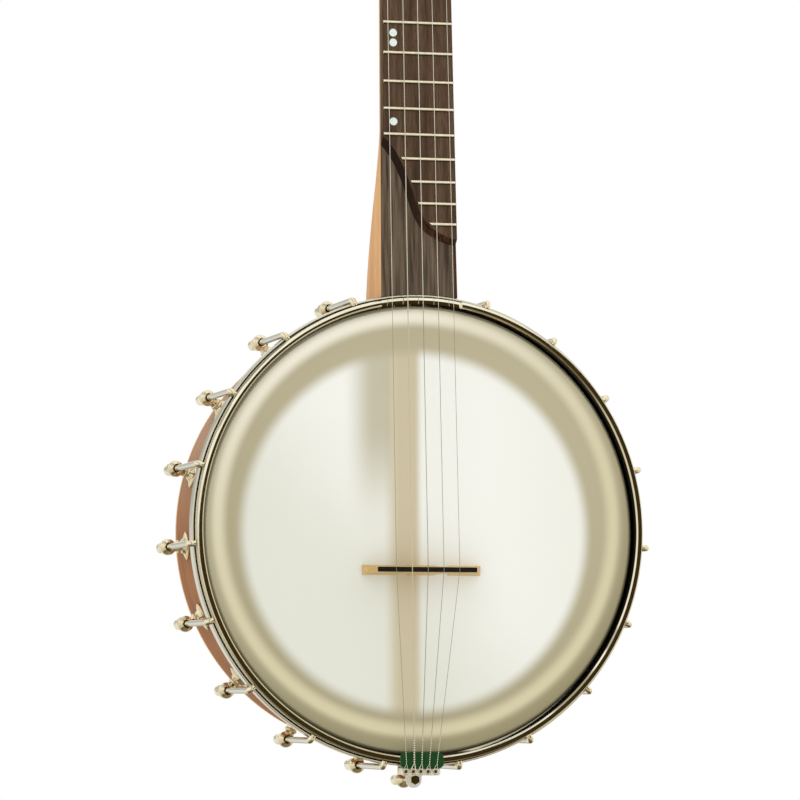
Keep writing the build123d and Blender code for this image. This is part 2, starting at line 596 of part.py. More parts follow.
# Tailpiece: bent plate with five headed posts, hung on the tail bolt by its turned-down tab.
post_z = -(hoop_outer_r + TAIL_POST_OUT)
plate_z = -(hoop_outer_r + TAIL_PLATE_OUT)
post_xs = [TAIL_POST_ROW_X + TAIL_POST_SPACING * k for k in (-2, -1, 0, 1, 2)]
lip_y = TAIL_STRING_Y + TAIL_LIP_BACK
tab_back_y = TAIL_TAB_Y + TAIL_PLATE
lip_left, lip_right = TAIL_LIP_X - TAIL_HALF_WIDTH, TAIL_LIP_X + TAIL_HALF_WIDTH
with BuildPart() as tailpiece:
    with BuildSketch(Plane.XY.offset(plate_z - TAIL_PLATE)):
        with BuildLine():
            Polyline(
                (lip_left, lip_y), (lip_right, lip_y), (lip_right, lip_y + TAIL_SIDE),
                (TAIL_TAB_HALF_WIDTH, tab_back_y), (-TAIL_TAB_HALF_WIDTH, tab_back_y),
                (lip_left, lip_y + TAIL_SIDE), close=True,
            )
        make_face()
    extrude(amount=TAIL_PLATE)
    with BuildSketch(Plane.XZ.offset(-lip_y - TAIL_PLATE)):
        with Locations((TAIL_LIP_X, (plate_z + post_z - TAIL_LIP_BELOW) / 2)):
            RectangleRounded(2 * TAIL_HALF_WIDTH, plate_z - post_z + TAIL_LIP_BELOW, TAIL_LIP_CORNER_R)
    extrude(amount=TAIL_PLATE)
    with BuildSketch(Plane.XZ.offset(-tab_back_y)):
        with Locations((0, (plate_z - TAIL_PLATE / 2 + tail_z) / 2)):
            Rectangle(2 * TAIL_TAB_HALF_WIDTH, plate_z - TAIL_PLATE / 2 - tail_z)
        with Locations((0, tail_z)):
            Circle(TAIL_TAB_HALF_WIDTH)
            Circle(TAIL_BOLT_D / 2 + 3 * FIT, mode=Mode.SUBTRACT)
    extrude(amount=TAIL_PLATE)
    for x in post_xs:
        post = Plane((x, lip_y + TAIL_PLATE / 2, post_z), z_dir=(0, -1, 0))
        disc(post, TAIL_POST_R, 0, TAIL_POST_LENGTH)
        disc(post, TAIL_POST_R + TAIL_POST_HEAD_LIP, TAIL_POST_LENGTH - TAIL_POST_HEAD, TAIL_POST_LENGTH)
keep(tailpiece, "tailpiece")

# Hex bolt through the tab and the hanger's ball.
with BuildPart() as tail_bolt:
    bolt = Plane((0, TAIL_TAB_Y, tail_z), z_dir=(0, 1, 0))
    hexagon(bolt, TAIL_BOLT_HEX, -TAIL_BOLT_HEAD, -FIT)
    tail_bolt_end = tail_ball_back_y + HOOK_NUT_LENGTH - HOOK_NUT_END - THREAD_END_GAP
    disc(bolt, TAIL_BOLT_D / 2, -FIT, tail_bolt_end - TAIL_TAB_Y)
keep(tail_bolt, "tail_bolt")

# Felt pad laid over the hoop's edge under the strings.
felt_inner_r = hoop_inner_r - FELT_OVERHANG
felt_outer_r = -post_z - TAIL_POST_R - FELT_POST_GAP
with BuildPart() as tail_felt:
    with BuildSketch(Plane.XZ.offset(-(HOOP_FRONT_Y - 2 * FIT))):
        with Locations((FELT_X, -(felt_inner_r + felt_outer_r) / 2)):
            Rectangle(2 * FELT_HALF_WIDTH, felt_outer_r - felt_inner_r)
    extrude(amount=FELT_THICKNESS)
keep(tail_felt, "tail_felt")

# ================================================================ layout of the neck and pegs
lean = radians(NECK_LEAN)
neck_z = RIM_OUTER_R + NECK_REF_GAP
neck_plane = Plane((0, FRETBOARD_Y, neck_z), x_dir=(1, 0, 0), z_dir=(0, -cos(lean), sin(lean)))


def along(height):
    """Distance up the neck from its reference, for a height above the pot's centre."""
    return (height - neck_z) / cos(lean)


def fret(number):
    """Distance up the neck of a fret; number 0 is the nut."""
    return along(BRIDGE_Z + SCALE_LENGTH * 2 ** (-number / 12))


def half_width(distance):
    return NECK_HALF_WIDTH - NECK_TAPER * distance


nut_v = fret(0)
peg_v = nut_v + NUT_THICKNESS
shoulder_v = fret(5) + SHOULDER_START
shoulder_drop = 2 * half_width(nut_v) - NUT_WIDTH


def bass_edge(distance):
    """The bass edge steps in above the fifth fret, where the fifth string ends."""
    share = min(max((distance - shoulder_v) / SHOULDER_LENGTH, 0), 1)
    return -half_width(distance) + shoulder_drop * share * share * (3 - 2 * share)


nut_centre = half_width(nut_v) - NUT_WIDTH / 2
tilt = radians(NECK_LEAN + PEGHEAD_TILT)
head_plane = Plane(
    neck_plane.from_local_coords((nut_centre, peg_v, -OVERLAY_THICKNESS - FACE_DROP)),
    x_dir=(1, 0, 0), z_dir=(0, -cos(tilt), sin(tilt)),
)
face_plane = head_plane.offset(OVERLAY_THICKNESS)
housing_r = GEAR_MODULE * (RING_TEETH / 2 + GEAR_DEDENDUM) + HOUSING_WALL


def peg_plane(x, y):
    """Plane square to one of the four peghead pegs, at the peghead's face."""
    return Plane(face_plane.from_local_coords((x, y, 0)), x_dir=(1, 0, 0), z_dir=face_plane.z_dir)


fifth_v = fret(5) + FIFTH_PEG_ABOVE
inward = radians(FIFTH_LEAN)
up_neck = neck_plane.y_dir
fifth_axis = neck_plane.x_dir * cos(inward) - up_neck * sin(inward)
fifth_plane = Plane(
    neck_plane.from_local_coords((bass_edge(fifth_v) + FIFTH_SEAT, fifth_v, -FIFTH_PEG_DEPTH)),
    x_dir=up_neck * cos(inward) + neck_plane.x_dir * sin(inward), z_dir=fifth_axis,
)
peg_planes = {
    1: peg_plane(LOWER_PEG_X, LOWER_PEG_Y),
    2: peg_plane(UPPER_PEG_X, UPPER_PEG_Y),
    3: peg_plane(-UPPER_PEG_X, UPPER_PEG_Y),
    4: peg_plane(-LOWER_PEG_X, LOWER_PEG_Y),
    5: fifth_plane,
}
peghead_back = -(PEGHEAD_THICKNESS + OVERLAY_THICKNESS)
seat = {1: peghead_back, 2: peghead_back, 3: peghead_back, 4: peghead_back, 5: -FIFTH_FLANGE - FIFTH_CAGE}
winding = {1: WINDING_HEIGHT, 2: WINDING_HEIGHT, 3: WINDING_HEIGHT, 4: WINDING_HEIGHT, 5: FIFTH_WINDING}
wound_side = {1: 1, 2: 1, 3: -1, 4: -1, 5: -1}


def neck_point_plane(x, v):
    """Plane on the fretboard's surface, at a distance across and up it."""
    return Plane(neck_plane.from_local_coords((x, v, 0)), z_dir=neck_plane.z_dir)


def bridge_point(string):
    return Vector(BRIDGE_CENTRE_X + (3 - string) * BRIDGE_STRING_SPACING, -BRIDGE_HEIGHT, BRIDGE_Z)


def nut_point(string):
    """Where a string breaks over the nut, or over the fifth string's own small nut."""
    if string == 5:
        v = fret(5) + FIFTH_NUT_ABOVE
        return neck_plane.from_local_coords((bass_edge(v) + FIFTH_STRING_FROM_EDGE, v, FIFTH_STRING_HEIGHT))
    x = nut_centre + (2.5 - string) * NUT_STRING_SPACING
    return neck_plane.from_local_coords((x, nut_v, NUT_STRING_HEIGHT + STRING_R[string]))


def peg_point(string):
    """End of a string's straight run, just clear of the turns wound on its post."""
    plane, r = peg_planes[string], STRING_R[string]
    start = plane.to_local_coords(nut_point(string))
    centreline = POST_WAIST_R + r
    angle = atan2(start.Y, start.X) + wound_side[string] * acos(centreline / hypot(start.X, start.Y))
    touch = Vector(centreline * cos(angle), centreline * sin(angle), winding[string] + r)
    run = start - touch
    clear = sqrt((POST_WAIST_R + 2 * r + 3 * FIT) ** 2 - POST_WAIST_R**2)
    return plane.from_local_coords(touch + run * (clear / run.length))


def notch(string, point, towards, length):
    """Cut a string's notch, open at the front, from a point towards another."""
    way = Plane(point, x_dir=(1, 0, 0), z_dir=towards - point)
    r = STRING_R[string]
    with BuildSketch(way.offset(-FIT)) as opening:
        with Locations((0, -NOTCH_OPENING / 2)):
            Rectangle(2 * (r + FIT), NOTCH_OPENING + 2 * (r + FIT))
    extrude(opening.sketch, amount=length + FIT, mode=Mode.SUBTRACT)


def tail_point(string):
    loop_r = TAIL_POST_R + FIT + STRING_R[string]
    turn = radians(TAIL_LOOP_TURN)
    return Vector(post_xs[5 - string] + loop_r * sin(turn), TAIL_STRING_Y, post_z + loop_r * cos(turn))


# ================================================================ the bridge
# Maple base with three feet and two arches, thinner at the top than at the feet.
base_top_y = -(BRIDGE_HEIGHT - BRIDGE_CAP_HEIGHT)
with BuildPart() as bridge_base:
    with BuildSketch(Plane.XY.offset(BRIDGE_Z - BRIDGE_FOOT_THICKNESS / 2)):
        with BuildLine():
            Polyline(
                (BRIDGE_CENTRE_X - BRIDGE_FOOT_SPAN / 2, 0), (BRIDGE_CENTRE_X + BRIDGE_FOOT_SPAN / 2, 0),
                (BRIDGE_CENTRE_X + BRIDGE_FOOT_SPAN / 2, -BRIDGE_FOOT_HEIGHT),
                (BRIDGE_CENTRE_X + BRIDGE_TOP_SPAN / 2, base_top_y),
                (BRIDGE_CENTRE_X - BRIDGE_TOP_SPAN / 2, base_top_y),
                (BRIDGE_CENTRE_X - BRIDGE_FOOT_SPAN / 2, -BRIDGE_FOOT_HEIGHT), close=True,
            )
        make_face()
        with Locations(
            (BRIDGE_CENTRE_X - BRIDGE_ARCH_X, 0), (BRIDGE_CENTRE_X + BRIDGE_ARCH_X, 0),
        ):
            Ellipse(BRIDGE_ARCH_WIDTH / 2, BRIDGE_ARCH_HEIGHT, mode=Mode.SUBTRACT)
    extrude(amount=BRIDGE_FOOT_THICKNESS)
    with BuildSketch(Plane.YZ.offset(-BRIDGE_FOOT_SPAN)):
        with BuildLine():
            Polyline(
                (0, BRIDGE_Z - BRIDGE_FOOT_THICKNESS / 2), (0, BRIDGE_Z + BRIDGE_FOOT_THICKNESS / 2),
                (base_top_y, BRIDGE_Z + BRIDGE_TOP_THICKNESS / 2),
                (base_top_y, BRIDGE_Z - BRIDGE_TOP_THICKNESS / 2), close=True,
            )
        make_face()
    extrude(amount=2 * BRIDGE_FOOT_SPAN, mode=Mode.INTERSECT)
keep(bridge_base, "bridge_base")

# Ebony cap glued on the bridge, notched for the strings.
with BuildPart() as bridge_cap:
    with BuildSketch(Plane.XY.offset(BRIDGE_Z - BRIDGE_TOP_THICKNESS / 2)):
        with Locations((BRIDGE_CENTRE_X, base_top_y - BRIDGE_CAP_HEIGHT / 2)):
            Rectangle(BRIDGE_TOP_SPAN, BRIDGE_CAP_HEIGHT)
    extrude(amount=BRIDGE_TOP_THICKNESS)
    chamfer(bridge_cap.edges().filter_by(Axis.Z), length=0.5)
    for string in STRING_R:
        notch(string, bridge_point(string), nut_point(string), BRIDGE_TOP_THICKNESS)
        notch(string, bridge_point(string), tail_point(string), BRIDGE_TOP_THICKNESS)
keep(bridge_cap, "bridge_cap")


# ================================================================ the strings
def taut_string(string):
    """A string from its loop on the tailpiece, over bridge and nut, to its post."""
    r = STRING_R[string]
    start = tail_point(string)
    with BuildLine() as path:
        FilletPolyline(
            start, bridge_point(string), nut_point(string), peg_point(string), radius=STRING_BEND_R,
        )
    with BuildSketch(Plane(start, z_dir=bridge_point(string) - start)) as wire:
        Circle(r)
    sweep(wire.sketch, path=path.line)
    disc(Plane(start, z_dir=bridge_point(string) - start), TWIST_WIDTH * r, 0, TWIST_LENGTH)
    with Locations(Plane((post_xs[5 - string], TAIL_STRING_Y, post_z), z_dir=(0, -1, 0))):
        Torus(TAIL_POST_R + FIT + r, r)


# Four plain steel strings.
with BuildPart() as plain_strings:
    for string in (1, 2, 3, 5):
        taut_string(string)
keep(plain_strings, "plain_strings")

# The wound fourth string.
with BuildPart() as wound_string:
    taut_string(4)
keep(wound_string, "wound_string")


# ================================================================ neck and peghead
def d_section(plane, low, high, top, side, depth):
    """Neck cross-section: flat top, straight sides and an elliptical back."""
    middle, half = (low + high) / 2, (high - low) / 2
    with BuildSketch(plane) as section:
        with BuildLine():
            Line((low, top + side), (low, top))
            Line((low, top), (high, top))
            Line((high, top), (high, top + side))
            EllipticalCenterArc((middle, top + side), half, depth, start_angle=0, arc_size=180)
        make_face()
    return section.sketch


def neck_section(distance, heel=0.0):
    """Section of the neck at a distance up it; heel runs from 0 at its top to 1 at the pot."""
    plane = Plane(neck_plane.from_local_coords((0, distance, 0)), x_dir=(1, 0, 0), z_dir=up_neck)
    swell = sin(pi / 2 * heel) ** HEEL_EASE
    return d_section(
        plane, bass_edge(distance), half_width(distance), FRETBOARD_THICKNESS,
        NECK_SHOULDER + HEEL_SIDE * swell, NECK_ROUND + HEEL_ROUND * swell,
    )


def outside_hoop(gap):
    """Cut away what would reach over the hoops, all the way to the front."""
    with BuildSketch(Plane.XZ.offset(-(flesh_back_y + HEEL_CLEARANCE))) as hoops:
        Circle(hoop_outer_r + gap)
    extrude(hoops.sketch, amount=CUTTER, mode=Mode.SUBTRACT)


def pot_clearance():
    """Cut a piece of the neck back to the rim, and further back round the hoops."""
    outside_hoop(HEEL_CLEARANCE)
    with BuildSketch(Plane.XZ.offset(-RIM_BACK_Y)) as pot:
        Circle(RIM_OUTER_R + FIT)
    extrude(pot.sketch, amount=RIM_BACK_Y + CUTTER, mode=Mode.SUBTRACT)


def peghead_outline():
    """Peghead seen from the front: flared, waisted, flared again and rounded over the top."""
    start = NUT_WIDTH / 2
    with BuildSketch(head_plane) as outline:
        with BuildLine():
            Line((0, 0), (start, 0))
            Spline(
                (start, 0), (PEGHEAD_LOWER_HALF, LOWER_PEG_Y), (PEGHEAD_WAIST_HALF, PEGHEAD_LENGTH / 2),
                (PEGHEAD_UPPER_HALF, PEGHEAD_SHOULDER_Y), tangents=((0.5, 1), (0, 1)),
            )
            Spline(
                (PEGHEAD_UPPER_HALF, PEGHEAD_SHOULDER_Y), PEGHEAD_CREST,
                (0, PEGHEAD_LENGTH), tangents=((0, 1), (-1, 0)),
            )
            mirror(about=Plane.YZ)
        make_face()
    return outline.sketch


def peg_holes(radius):
    for string in (1, 2, 3, 4):
        disc(peg_planes[string], radius, peghead_back - 1, 1, Mode.SUBTRACT)


rod_depth = FRETBOARD_THICKNESS + TRUSS_ROD_COVER + TRUSS_ROD_D / 2
rod_start = peg_v + TRUSS_ROD_OUT - TRUSS_ROD_LENGTH
heel_foot_v = along(RIM_OUTER_R - HEEL_TRIM)
heel_top_v = along(neck_z + HEEL_LENGTH)

# One-piece neck: heel swelling towards the pot, rounded shaft, shoulder for the
# fifth peg, volute and peghead, with the mortise, rod channel and peg holes.
with BuildPart() as neck:
    loft([neck_section(heel_foot_v + (heel_top_v - heel_foot_v) * (1 - f), f)
          for f in (1.0, 0.7, 0.45, 0.25, 0.1, 0.0)])
    loft([neck_section(heel_top_v), neck_section(shoulder_v)], ruled=True)
    loft([neck_section(shoulder_v + SHOULDER_LENGTH * f) for f in (0, 0.2, 0.4, 0.6, 0.8, 1)])
    loft([neck_section(shoulder_v + SHOULDER_LENGTH), neck_section(peg_v)], ruled=True)
    volute = Plane(
        head_plane.from_local_coords((0, LOWER_PEG_Y / 2, 0)), x_dir=(1, 0, 0), z_dir=head_plane.y_dir)
    volute_half = VOLUTE_WIDTH * PEGHEAD_WAIST_HALF
    volute_end = d_section(
        volute, -volute_half, volute_half, 1.0, PEGHEAD_THICKNESS - VOLUTE_RISE, VOLUTE_DEPTH)
    loft([neck_section(peg_v), volute_end], ruled=True)
    extrude(peghead_outline(), amount=-PEGHEAD_THICKNESS)
    with BuildSketch(neck_plane.offset(-FRETBOARD_THICKNESS)):
        with Locations((nut_centre, nut_v + NUT_THICKNESS / 2)):
            Rectangle(2 * NUT_WIDTH, NUT_THICKNESS)
    extrude(amount=FRETBOARD_THICKNESS, mode=Mode.SUBTRACT)
    pot_clearance()
    with BuildSketch(Plane.XY.offset(rim_inner_r)):
        with Locations((0, DOWEL_Y)):
            Rectangle(DOWEL_WIDTH + 2 * FIT, DOWEL_DEPTH + 2 * FIT)
    extrude(amount=dowel_top_z + FIT - rim_inner_r, mode=Mode.SUBTRACT)
    channel = Plane(neck_plane.from_local_coords((0, rod_start - 1, 0)), x_dir=(1, 0, 0), z_dir=up_neck)
    channel_floor = rod_depth + TRUSS_ROD_D / 2 + FIT
    with BuildSketch(channel):
        with Locations((nut_centre, (FRETBOARD_THICKNESS + channel_floor) / 2)):
            Rectangle(TRUSS_ROD_D + 2 * FIT, channel_floor - FRETBOARD_THICKNESS)
    extrude(amount=TRUSS_ROD_LENGTH + 2, mode=Mode.SUBTRACT)
    with BuildSketch(head_plane):
        with Locations((0, POCKET_LENGTH / 2)):
            Rectangle(POCKET_WIDTH, POCKET_LENGTH)
    extrude(amount=-POCKET_DEPTH, mode=Mode.SUBTRACT)
    peg_holes(BUSHING_R + FIT)
    disc(fifth_plane, FIFTH_SHANK_R + FIT, -1, FIFTH_SHANK_LENGTH + 1, Mode.SUBTRACT)
    disc(fifth_plane, FIFTH_FLANGE_R + 4 * FIT, -FIFTH_SPOTFACE, 0, Mode.SUBTRACT)
keep(neck, "neck")

# Rosewood plate on the peghead's face, drilled for the pegs.
with BuildPart() as peghead_overlay:
    extrude(peghead_outline(), amount=OVERLAY_THICKNESS)
    with BuildSketch(head_plane):
        with Locations((0, POCKET_LENGTH / 2)):
            Rectangle(POCKET_WIDTH, POCKET_LENGTH)
    extrude(amount=OVERLAY_THICKNESS, mode=Mode.SUBTRACT)
    peg_holes(BUSHING_R + FIT)
keep(peghead_overlay, "peghead_overlay")

# Steel truss rod under the fretboard, with its adjusting nut in the peghead's pocket.
with BuildPart() as truss_rod:
    rod = Plane(neck_plane.from_local_coords((nut_centre, rod_start, -rod_depth)), z_dir=up_neck)
    disc(rod, TRUSS_ROD_D / 2, 0, TRUSS_ROD_LENGTH)
keep(truss_rod, "truss_rod")

# Small cover over the rod's pocket, with two screws.
with BuildPart() as truss_cover:
    with BuildSketch(face_plane):
        with BuildLine():
            low, top_y = COVER_START + COVER_SIDE, COVER_START + COVER_LENGTH
            shoulder = (COVER_SHOULDER * COVER_HALF_WIDTH, (low + top_y) / 2)
            Polyline((0, COVER_START), (COVER_HALF_WIDTH, COVER_START), (COVER_HALF_WIDTH, low))
            Spline((COVER_HALF_WIDTH, low), shoulder, (0, top_y), tangents=((0, 1), (-1, 0)))
            mirror(about=Plane.YZ)
        make_face()
    extrude(amount=COVER_THICKNESS)
    for y in COVER_SCREWS:
        screw = Plane(face_plane.from_local_coords((0, y, COVER_THICKNESS)), z_dir=face_plane.z_dir)
        disc(screw, COVER_SCREW_R, 0, COVER_SCREW_HEAD)
keep(truss_cover, "truss_cover")


# ================================================================ fretboard
def playing_area(inset):
    """Outline of the fretboard's surface on the neck plane, drawn in by an inset."""
    steps = [shoulder_v + SHOULDER_LENGTH * f for f in (0, 0.25, 0.5, 0.75, 1)]
    foot = heel_foot_v - HEEL_TRIM
    with BuildSketch(neck_plane) as area:
        with BuildLine():
            Polyline(
                (bass_edge(steps[0]) + inset, steps[0]), (bass_edge(foot) + inset, foot),
                (half_width(foot) - inset, foot), (half_width(nut_v) - inset, nut_v),
                (bass_edge(nut_v) + inset, nut_v), (bass_edge(steps[-1]) + inset, steps[-1]),
            )
            Spline(*[(bass_edge(v) + inset, v) for v in reversed(steps)],
                   tangents=((NECK_TAPER, -1), (-NECK_TAPER, -1)))
        make_face()
    return area.sketch


def scoop_area(inset, depth=0):
    """Region where the fretboard is cut down for the picking hand, at a depth."""
    edge = [(x + inset, z / cos(lean) + inset) for x, z in SCOOP_CURVE]
    with BuildSketch(neck_plane.offset(-depth)) as area:
        with BuildLine():
            Spline(*edge)
            Polyline(edge[-1], (edge[-1][0], heel_foot_v - CUTTER), (edge[0][0] - 10, heel_foot_v - CUTTER),
                     (edge[0][0] - 10, edge[0][1]), edge[0])
        make_face()
    return area.sketch


def dot_planes():
    """Planes of the fretboard's dots, midway between frets on the bass side."""
    for number, shift in ((5, 0), (7, 0), (10, 0), (12, -0.5), (12, 0.5), (15, 0)):
        v = (fret(number) + fret(number - 1)) / 2 + shift * DOT_PAIR
        yield neck_point_plane(bass_edge(v) + DOT_FROM_EDGE, v)


# Rosewood fretboard, cut down past the scoop's curve, with sockets for its dots.
with BuildPart() as fretboard:
    extrude(playing_area(0), amount=-FRETBOARD_THICKNESS)
    loft([scoop_area(0), scoop_area(-SCOOP_COVE, SCOOP_DEPTH)], ruled=True, mode=Mode.SUBTRACT)
    outside_hoop(FRETBOARD_END_GAP)
    for plane in dot_planes():
        disc(plane, DOT_D / 2, -DOT_THICKNESS, 1, Mode.SUBTRACT)
keep(fretboard, "fretboard")

# Nickel-silver frets, trimmed at the scoop's edge.
with BuildPart() as frets:
    for number in range(1, FRET_COUNT + 1):
        v = fret(number)
        left = neck_plane.from_local_coords((-NECK_HALF_WIDTH, v, 0))
        with BuildSketch(Plane(left, x_dir=up_neck, z_dir=(1, 0, 0))):
            with BuildLine():
                ThreePointArc((-FRET_WIDTH / 2, 0), (0, FRET_HEIGHT), (FRET_WIDTH / 2, 0))
                Line((FRET_WIDTH / 2, 0), (-FRET_WIDTH / 2, 0))
            make_face()
        extrude(amount=2 * NECK_HALF_WIDTH)
    with BuildPart(mode=Mode.PRIVATE) as surface:
        extrude(playing_area(FRET_INSET), amount=2 * FRET_HEIGHT)
        extrude(scoop_area(FRET_INSET), amount=2 * FRET_HEIGHT, mode=Mode.SUBTRACT)
    add(surface.part, mode=Mode.INTERSECT)
keep(frets, "frets")

# Pearl dots let into the fretboard.
with BuildPart() as inlay_dots:
    for plane in dot_planes():
        disc(plane, DOT_D / 2 - FIT, -DOT_THICKNESS, 0)
keep(inlay_dots, "inlay_dots")

# Bone nut, standing on the neck between fretboard and peghead plate.
with BuildPart() as nut:
    with BuildSketch(neck_plane.offset(-FRETBOARD_THICKNESS)):
        with Locations((nut_centre, nut_v + NUT_THICKNESS / 2)):
            Rectangle(NUT_WIDTH, NUT_THICKNESS - 2 * FIT)
    extrude(amount=FRETBOARD_THICKNESS + NUT_HEIGHT)
    chamfer(nut.faces().sort_by(Axis.Y)[0].edges().sort_by(Axis.Z)[-1], length=1.0)
    for string in (1, 2, 3, 4):
        notch(string, nut_point(string), peg_point(string), NUT_THICKNESS + 2)
keep(nut, "nut")

# Small bone post that ends the fifth string beside the fifth fret.
with BuildPart() as fifth_nut:
    v = fret(5) + FIFTH_NUT_ABOVE
    post = neck_point_plane(bass_edge(v) + FIFTH_STRING_FROM_EDGE, v)
    disc(post, FIFTH_NUT_D / 2, 0, FIFTH_STRING_HEIGHT + STRING_R[5])
    notch(5, nut_point(5), bridge_point(5), FIFTH_NUT_D)
    notch(5, nut_point(5), peg_point(5), FIFTH_NUT_D)
keep(fifth_nut, "fifth_nut")


# ================================================================ planetary tuning pegs
sun_pitch_r = GEAR_MODULE * SUN_TEETH / 2
planet_pitch_r = GEAR_MODULE * PLANET_TEETH / 2
ring_pitch_r = GEAR_MODULE * RING_TEETH / 2
arm_r = sun_pitch_r + planet_pitch_r
gear_front = HOUSING_FLOOR + CARRIER_THICKNESS + 2 * END_PLAY     # all measured back from the seat
gear_back = gear_front + GEAR_WIDTH
cavity_back = gear_back + END_PLAY
housing_back = cavity_back + HOUSING_FLOOR
knob_front = housing_back + KNOB_GAP
knob_back = knob_front + KNOB_LENGTH
post_tip = {1: POST_HEIGHT, 2: POST_HEIGHT, 3: POST_HEIGHT, 4: POST_HEIGHT, 5: FIFTH_SHANK_LENGTH / 2}


def gear_points(teeth, phase, inside=False):
    """Outline of a gear with straight flanks; an inside gear's teeth point inwards."""
    pitch_r = GEAR_MODULE * teeth / 2
    outwards = -1 if inside else 1
    flank = tan(radians(PRESSURE_ANGLE)) * GEAR_MODULE
    pitch_half = GEAR_BACKLASH * pi * GEAR_MODULE / 4
    root_r = pitch_r - outwards * GEAR_DEDENDUM * GEAR_MODULE
    tip_r = pitch_r + outwards * GEAR_ADDENDUM * GEAR_MODULE
    root_half = degrees((pitch_half + GEAR_DEDENDUM * flank) / root_r)
    tip_half = degrees((pitch_half - GEAR_ADDENDUM * flank) / tip_r)
    points = []
    for tooth in range(teeth):
        middle = phase + 360 * tooth / teeth
        corners = ((root_r, -root_half), (tip_r, -tip_half), (tip_r, tip_half), (root_r, root_half))
        for radius, turn in corners:
            angle = radians(middle + turn)
            points.append((radius * cos(angle), radius * sin(angle)))
    return points


def gear(plane, teeth, phase, low, high, centre=(0, 0), mode=Mode.ADD, inside=False):
    with BuildSketch(plane.offset(low)) as outline:
        with BuildLine():
            corners = gear_points(teeth, phase, inside)
            Polyline(*[(x + centre[0], y + centre[1]) for x, y in corners], close=True)
        make_face()
    extrude(outline.sketch, amount=high - low, mode=mode)


def turned(plane, points):
    """Turn a closed outline of (radius, height) points about a plane's normal."""
    side = Plane(plane.origin, x_dir=plane.x_dir, z_dir=plane.x_dir.cross(plane.z_dir))
    with BuildSketch(side) as outline:
        with BuildLine():
            Polyline(*points, close=True)
        make_face()
    revolve(outline.sketch, axis=Axis(plane.origin, plane.z_dir))


# Five alike gear housings: a cup with the ring gear cut inside and a bore for the knob's shaft.
with BuildPart() as tuner_housings:
    for string, plane in peg_planes.items():
        face = seat[string] - HOUSING_FLOOR
        back = seat[string] - housing_back
        disc(plane, housing_r, back, face)
        gear(plane, RING_TEETH, 0, seat[string] - cavity_back, face, mode=Mode.SUBTRACT, inside=True)
        disc(plane, PEG_SHAFT_R + FIT, back, face, Mode.SUBTRACT)
keep(tuner_housings, "tuner_housings")

# Four threaded bushings, each with the flange that closes its housing.
with BuildPart() as tuner_bushings:
    for string in (1, 2, 3, 4):
        plane = peg_planes[string]
        disc(plane, housing_r, peghead_back - HOUSING_FLOOR, peghead_back)
        disc(plane, BUSHING_R, peghead_back, BUSHING_END)
        disc(plane, POST_R + FIT, peghead_back - HOUSING_FLOOR, BUSHING_END, Mode.SUBTRACT)
keep(tuner_bushings, "tuner_bushings")

# Four hex nuts with washers that draw the bushings down on the peghead.
with BuildPart() as tuner_nuts:
    for string in (1, 2, 3, 4):
        plane = peg_planes[string]
        nut_top = PEG_WASHER_THICKNESS + PEG_NUT_THICKNESS
        disc(plane, PEG_WASHER_R, 0, PEG_WASHER_THICKNESS)
        hexagon(plane, PEG_NUT_HEX, PEG_WASHER_THICKNESS, nut_top)
        disc(plane, BUSHING_R + FIT, 0, nut_top, Mode.SUBTRACT)
keep(tuner_nuts, "tuner_nuts")

# Fifth peg's body: shank pressed into the neck's side, and an open cage to its housing.
with BuildPart() as fifth_peg_cage:
    cage_out = seat[5]
    disc(fifth_plane, FIFTH_SHANK_R, 0, FIFTH_SHANK_LENGTH)
    disc(fifth_plane, FIFTH_FLANGE_R, -FIFTH_FLANGE, 0)
    disc(fifth_plane, housing_r, cage_out - HOUSING_FLOOR, cage_out)
    spoke = FIFTH_FLANGE_R - FIFTH_CAGE_BAR / 2
    for turn in FIFTH_CAGE_TURNS:
        with BuildSketch(fifth_plane.offset(cage_out)):
            with Locations(Rotation(0, 0, turn) * Location((spoke, 0, 0))):
                Rectangle(FIFTH_CAGE_BAR, FIFTH_CAGE_BAR_WIDTH)
        extrude(amount=FIFTH_CAGE)
    disc(fifth_plane, POST_WAIST_R + FIT, cage_out - HOUSING_FLOOR, post_tip[5] + 1, Mode.SUBTRACT)
keep(fifth_peg_cage, "fifth_peg_cage")

